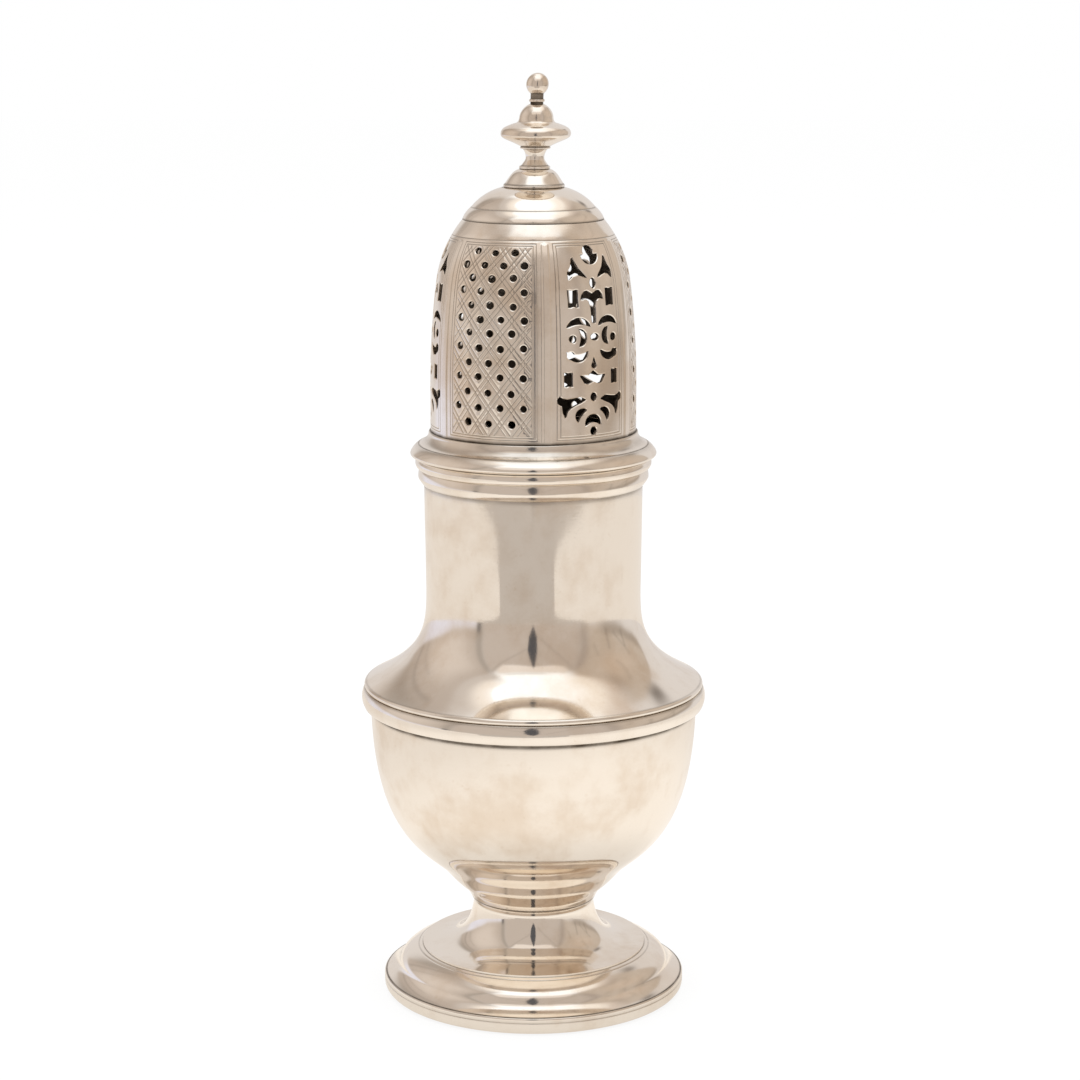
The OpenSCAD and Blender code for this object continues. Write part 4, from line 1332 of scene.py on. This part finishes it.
class CASTER_OT_stage(bpy.types.Operator):
    """Stage: pale floor, cloth light tent with a slit for the lens, soft light from above, camera"""

    bl_idname = "caster.stage"
    bl_label = "Stage"

    CAMERA = (0.0, -0.6012, 0.2189)
    PITCH = math.radians(11.15)
    YAW = math.radians(0.135)
    FOCAL_PIXELS = 2838.9
    IMAGE_PIXELS = 1080
    SENSOR = 36.0
    # Floor: half width and depth below the foot in millimetres, its own white, the share that glows, the
    # painted shadow under the foot and how far it reaches, and where the silver shows its painted light
    # brightest and darkest
    FLOOR_HALF, FLOOR_DROP = 4000.0, 0.02
    PAPER = (0.97, 0.97, 0.97)
    GLOW = 0.85
    SHADE, SHADE_REACH = 0.82, (0.036, 0.075)
    BRIGHTEST, FADE = (0.05, -0.04, 0.0), (0.08, 0.27)
    LAMP, LAMP_SIZE, LAMP_POWER = (0, -0.1, 1.4), 1.0, 9.0
    # Tent: radius, height of the eye that its angles are drawn from, lowest and highest elevation
    TENT = 600.0
    EYE = 95.0
    LOW, HIGH = -8.9, 72.5
    WALL_GRID = (361, 137)
    LID_SPREAD = 1.02
    WHITE = (1.25, 1.28, 1.32)
    # Edges of the cloth as azimuths and elevations
    LEFT_HEM = ((-146, -140, -120, -105, -92, -57), (5, 3.5, 2.5, 0, -4, -6))
    LEFT_HEAD = ((-150, -145, -135, -62, -55), (48, 55, 57, 57, 52))
    FRONT_HEAD = ((-53, -45, -35, -20, 0, 25, 35, 42, 48), (54, 51, 43, 43.5, 47, 44, 45.5, 50, 53))
    RIGHT_HEM = (
        (52, 75, 95, 103, 110, 120, 128, 132, 135, 138, 141),
        (-9, -6.5, -5, -3.5, -1, 1, 4.5, 10, 20, 34, 40))
    RIGHT_HEAD = ((50, 56, 62, 75, 90, 105, 120, 140), (50, 55, 57, 57, 56, 53.5, 50.5, 50))
    # Painted areas: left and right with their softness, lower and upper edge with theirs, and the colour
    CLOTH = (
        (-200, 200, 1, 56, 90, 1.5, WHITE),
        (-152, -52, 3, 54, 66.5, 2.5, (0.54, 0.47, 0.42)),
        (-160, -66, 5, 66, 71, 2, (0.98, 0.86, 0.74)),
        (55, 152, 3, 50, 60, 1.5, (0.72, 0.62, 0.55)),
        (62, 152, 5, 60, 68, 2.5, (1.0, 0.90, 0.78)),
        (-138, -58, 3, -12, LEFT_HEM, 1, (0.85, 0.86, 0.99)),
        (-147, -57, 1, LEFT_HEM, LEFT_HEAD, 1, (0.53, 0.46, 0.41)),
        (-124, -70, 6, LEFT_HEM, 48, 4, (0.74, 0.66, 0.60)),
        (-152, -143, 1.5, 18, 46, 4, (0.38, 0.33, 0.29)),
        (-54, 49, 1.2, -20, FRONT_HEAD, 0.8, (0.58, 0.51, 0.46)),
        (-46, 43, 1.2, FRONT_HEAD, 57.3, 0.8, (0.89, 0.81, 0.75)),
        (-42, 20, 4, 58, 61, 0.9, (0.78, 0.76, 0.73)),
        (49, 141, 1.2, RIGHT_HEM, RIGHT_HEAD, 1, (0.59, 0.51, 0.44)),
        (78, 118, 6, 20, 46, 4, (0.66, 0.55, 0.46)),
        (100, 130, 5, 47, 53, 1.5, (0.47, 0.39, 0.33)),
        (-60, -53, 1, -12, 55, 3, (0.43, 0.38, 0.34)),
        (-60, -56, 0.6, -12, -3, 1, (0.18, 0.17, 0.17)),
        (48, 57, 1.8, -12, 50, 4, (0.44, 0.38, 0.34)),
        (139, 147, 1.2, 33, 40, 1, (0.20, 0.17, 0.15)),
    )
    # Hem of the right cloth, as an area whose heights count from that cloth's lower edge
    HEM = (74, 131, 3, -3, 4.5, 1.2, (0.42, 0.36, 0.31))
    # Folds, painted shade in the glowing cloth: two ends of a line, how wide it is in degrees, and how much
    # darker
    FOLDS = (
        (-52, 52, -8, 16, 1.4, 0.13), (8, 2, 46, 48, 1.4, 0.13), (80, -4, 83, 14, 1.6, 0.22),
        (90, -2, 112, 18, 1.4, 0.15), (101, -3, 105, 10, 1.4, 0.2), (64, 10, 70, 24, 1.8, 0.12),
        (-140, 46, -137, 6, 1.6, 0.2), (-128, 6, -126, 34, 2.2, 0.1), (96, 30, 122, 42, 2, 0.12))
    # Cloth on the floor in front, and the slit for the lens with its distance, in millimetres
    APRON_LIFT = 0.3
    APRON = (
        (-150, -230), (-224, -321), (-247, -355), (-281, -372), (-336, -375), (-435, -338), (-580, -300),
        (-580, -590), (580, -590), (580, -300), (433, -340), (290, -418), (203, -430), (160, -412),
        (145, -372), (100, -250))
    SLIT_AWAY = 400.0
    SLIT_COLOUR = (0.10, 0.10, 0.11)
    SLIT = (
        (-2, 34), (12, 62), (24, 95), (26, 210), (12, 430), (0, 570), (-15, 430), (-42, 210), (-32, 95),
        (-18, 62))

    def execute(self, context):
        self.make_camera(context)
        self.make_world(context)
        self.make_floor(context)
        self.make_lamp(context)
        self.make_tent(context)
        return {"FINISHED"}

    def make_camera(self, context):
        """Camera at the photograph's angle, with plain colours."""
        data = bpy.data.cameras.new("camera")
        data.sensor_width = self.SENSOR
        data.lens = self.FOCAL_PIXELS / self.IMAGE_PIXELS * self.SENSOR
        camera = bpy.data.objects.new("camera", data)
        camera.location = self.CAMERA
        camera.rotation_euler = (math.pi / 2 - self.PITCH, 0, -self.YAW)
        context.scene.collection.objects.link(camera)
        context.scene.camera = camera
        context.scene.view_settings.view_transform = "Standard"

    def make_world(self, context):
        """White room."""
        world = bpy.data.worlds.new("white_room")
        bench = Bench(world)
        paper = bench.value("ShaderNodeBackground", Color=(1, 1, 1, 1), Strength=1.0)
        bench.add("ShaderNodeOutputWorld", Surface=paper)
        context.scene.world = world

    def make_floor(self, context):
        """White to the camera but for the caster's soft shadow; in the silver it glows cream, with a painted
        shadow round the foot, and its painted light fades with the distance from the middle."""
        corners = self.FLOOR_HALF * np.array([(-1, -1, 0), (1, -1, 0), (1, 1, 0), (-1, 1, 0)])
        corners[:, 2] -= self.FLOOR_DROP
        mesh = new_mesh("floor", corners, [np.array([[0, 1, 2, 3]])], {}, math.pi)
        material = bpy.data.materials.new("paper_floor")
        bench = Bench(material)
        path = bench.add("ShaderNodeLightPath")
        seen = Value(bench, path.outputs["Is Camera Ray"])
        glossy = Value(bench, path.outputs["Is Glossy Ray"])
        through = Value(bench, path.outputs["Is Transmission Ray"])
        where = bench.value("ShaderNodeTexCoord", 3)
        away = bench.value("ShaderNodeVectorMath", 1, {"operation": "LENGTH"}, i0=where)
        aside = bench.value("ShaderNodeVectorMath", 1, {"operation": "DISTANCE"}, i0=where, i1=self.BRIGHTEST)
        colours = context.scene.caster_colours
        # Painted shadow round the foot and painted light that fades outwards, in the glow that only mirrors
        # see
        painted_shadow = opaque(self.SHADE * np.array(colours.floor))
        colour = bench.blend(bench.ramp(away, *self.SHADE_REACH), painted_shadow, opaque(colours.floor))
        colour = bench.blend(bench.ramp(aside, *self.FADE), colour, opaque(colours.floor_far))
        paper = bench.value("ShaderNodeBsdfDiffuse", Color=opaque(self.PAPER))
        white = bench.value("ShaderNodeEmission", Color=(1, 1, 1, 1), Strength=1.0)
        painted_floor_glow = bench.value("ShaderNodeEmission", Color=colour, Strength=1.0)
        mirrored = (glossy + through) * self.GLOW
        glow = bench.value("ShaderNodeMixShader", Fac=mirrored, i1=paper, i2=painted_floor_glow)
        shown = bench.value("ShaderNodeMixShader", Fac=seen * self.GLOW, i1=glow, i2=white)
        bench.add("ShaderNodeOutputMaterial", Surface=shown)
        place("floor", mesh, material)

    def make_lamp(self, context):
        """Broad soft lamp overhead, which lights the paper and leaves the mirrors to the tent."""
        data = bpy.data.lights.new("soft_lamp", "AREA")
        data.shape = "DISK"
        data.size = self.LAMP_SIZE
        data.energy = self.LAMP_POWER
        lamp = bpy.data.objects.new("soft_lamp", data)
        lamp.location = self.LAMP
        lamp.visible_glossy = False
        context.scene.collection.objects.link(lamp)

    def hidden(self, name, points, faces, tint):
        """A glowing sheet of the tent, which only mirrors show."""
        tint = np.broadcast_to(np.array(tint, float), points.shape)
        mesh = new_mesh(name, points, [faces], {"tint": tint}, math.pi)
        material = bpy.data.materials.new(name)
        bench = Bench(material)
        colour = bench.value("ShaderNodeAttribute", 0, {"attribute_name": "tint"})
        glow = bench.value("ShaderNodeEmission", Color=colour, Strength=1.0)
        bench.add("ShaderNodeOutputMaterial", Surface=glow)
        sheet = place(name, mesh, material)
        sheet.visible_camera = False
        sheet.visible_diffuse = False
        sheet.visible_shadow = False

    def painted(self, tint, azimuth, elevation, area):
        """The tint with one soft-edged area of another colour over it: each edge is a logistic step."""
        left, right, side_soft, low, high, level_soft, colour = area
        low, high = (np.interp(azimuth, *edge) if isinstance(edge, tuple) else edge for edge in (low, high))
        steps = (
            (left - azimuth) / side_soft, (azimuth - right) / side_soft,
            (low - elevation) / level_soft, (elevation - high) / level_soft)
        share = np.ones(azimuth.shape)
        for step in steps:
            share = share / (1 + np.exp(np.clip(step, -40, 40)))
        return tint + share[..., None] * (np.array(colour) - tint)

    def folded(self, tint, azimuth, elevation, fold):
        """The tint darkened along a line between two directions, by a bell curve of the distance: the
        painted shade of a fold.
        """
        start, end = np.array(fold[0:2], float), np.array(fold[2:4], float)
        width, depth = fold[4:]
        along = end - start
        spot = np.stack([azimuth, elevation], 2) - start
        share = np.clip((spot @ along) / (along @ along), 0, 1)
        away = np.linalg.norm(spot - share[..., None] * along, axis=2)
        return tint * (1 - depth * np.exp(-((away / width) ** 2)))[..., None]

    def make_tent(self, context):
        """Round wall of cloth panels with their hems, seams and folds, a white ceiling, a dark slit
        for the lens, and a cloth on the floor in front."""
        columns, rows = self.WALL_GRID
        azimuth, elevation = np.meshgrid(
            np.linspace(-180, 180, columns), np.linspace(self.LOW, self.HIGH, rows))
        tint = np.array(context.scene.caster_colours.wall) * np.ones((*azimuth.shape, 1))
        for area in self.CLOTH:
            tint = self.painted(tint, azimuth, elevation, area)
        hem = np.interp(azimuth, *self.RIGHT_HEM)
        tint = self.painted(tint, azimuth, elevation - hem, self.HEM)
        for fold in self.FOLDS:
            tint = self.folded(tint, azimuth, elevation, fold)
        angle = np.radians(azimuth - 90)
        height = self.EYE + self.TENT * np.tan(np.radians(elevation))
        points = np.stack([self.TENT * np.cos(angle), self.TENT * np.sin(angle), height], 2).reshape(-1, 3)
        grid = np.arange(azimuth.size).reshape(azimuth.shape)
        quads = np.stack([grid[:-1, :-1], grid[1:, :-1], grid[1:, 1:], grid[:-1, 1:]], 2).reshape(-1, 4)
        self.hidden("tent_curtain", points, quads, tint.reshape(-1, 3))
        lid = points[1 - columns:] * (self.LID_SPREAD, self.LID_SPREAD, 1)
        slit = np.insert(np.array(self.SLIT, float), 1, -self.SLIT_AWAY, 1)
        apron = np.insert(np.array(self.APRON, float), 2, self.APRON_LIFT, 1)
        for name, edge, colour in (
                ("tent_head", lid[::-1], self.WHITE), ("lens_slit", slit, self.SLIT_COLOUR),
                ("tent_apron", apron, context.scene.caster_colours.curtain)):
            self.hidden(name, edge, np.arange(len(edge))[None, :], colour)


class CASTER_PT_bench(bpy.types.Panel):
    """Lists the caster's pieces, sizes and colours in the sidebar."""

    bl_label = "Sugar caster"
    bl_space_type = "VIEW_3D"
    bl_region_type = "UI"
    bl_category = "Caster"

    def draw(self, context):
        for operator in OPERATORS:
            self.layout.operator(operator.bl_idname)
        for group in (context.scene.caster_sizes, context.scene.caster_colours):
            column = self.layout.column(align=True)
            for name in group.__annotations__:
                column.prop(group, name)


OPERATORS = (
    CASTER_OT_foot,
    CASTER_OT_bowl,
    CASTER_OT_neck,
    CASTER_OT_cover,
    CASTER_OT_dome,
    CASTER_OT_cap,
    CASTER_OT_finial,
    CASTER_OT_stage,
)
CLASSES = (CasterSizes, CasterColours, *OPERATORS, CASTER_PT_bench)


def register():
    """Adds every class, and both groups of settings to the scene."""
    for cls in CLASSES:
        bpy.utils.register_class(cls)
    bpy.types.Scene.caster_sizes = PointerProperty(type=CasterSizes)
    bpy.types.Scene.caster_colours = PointerProperty(type=CasterColours)


def unregister():
    """Takes the settings and the classes away again, last first."""
    del bpy.types.Scene.caster_colours
    del bpy.types.Scene.caster_sizes
    for cls in reversed(CLASSES):
        bpy.utils.unregister_class(cls)


def main():
    """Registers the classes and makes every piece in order."""
    register()
    bpy.ops.caster.foot()
    bpy.ops.caster.bowl()
    bpy.ops.caster.neck()
    bpy.ops.caster.cover()
    bpy.ops.caster.dome()
    bpy.ops.caster.cap()
    bpy.ops.caster.finial()
    bpy.ops.caster.stage()


if __name__ == "__main__":
    main()
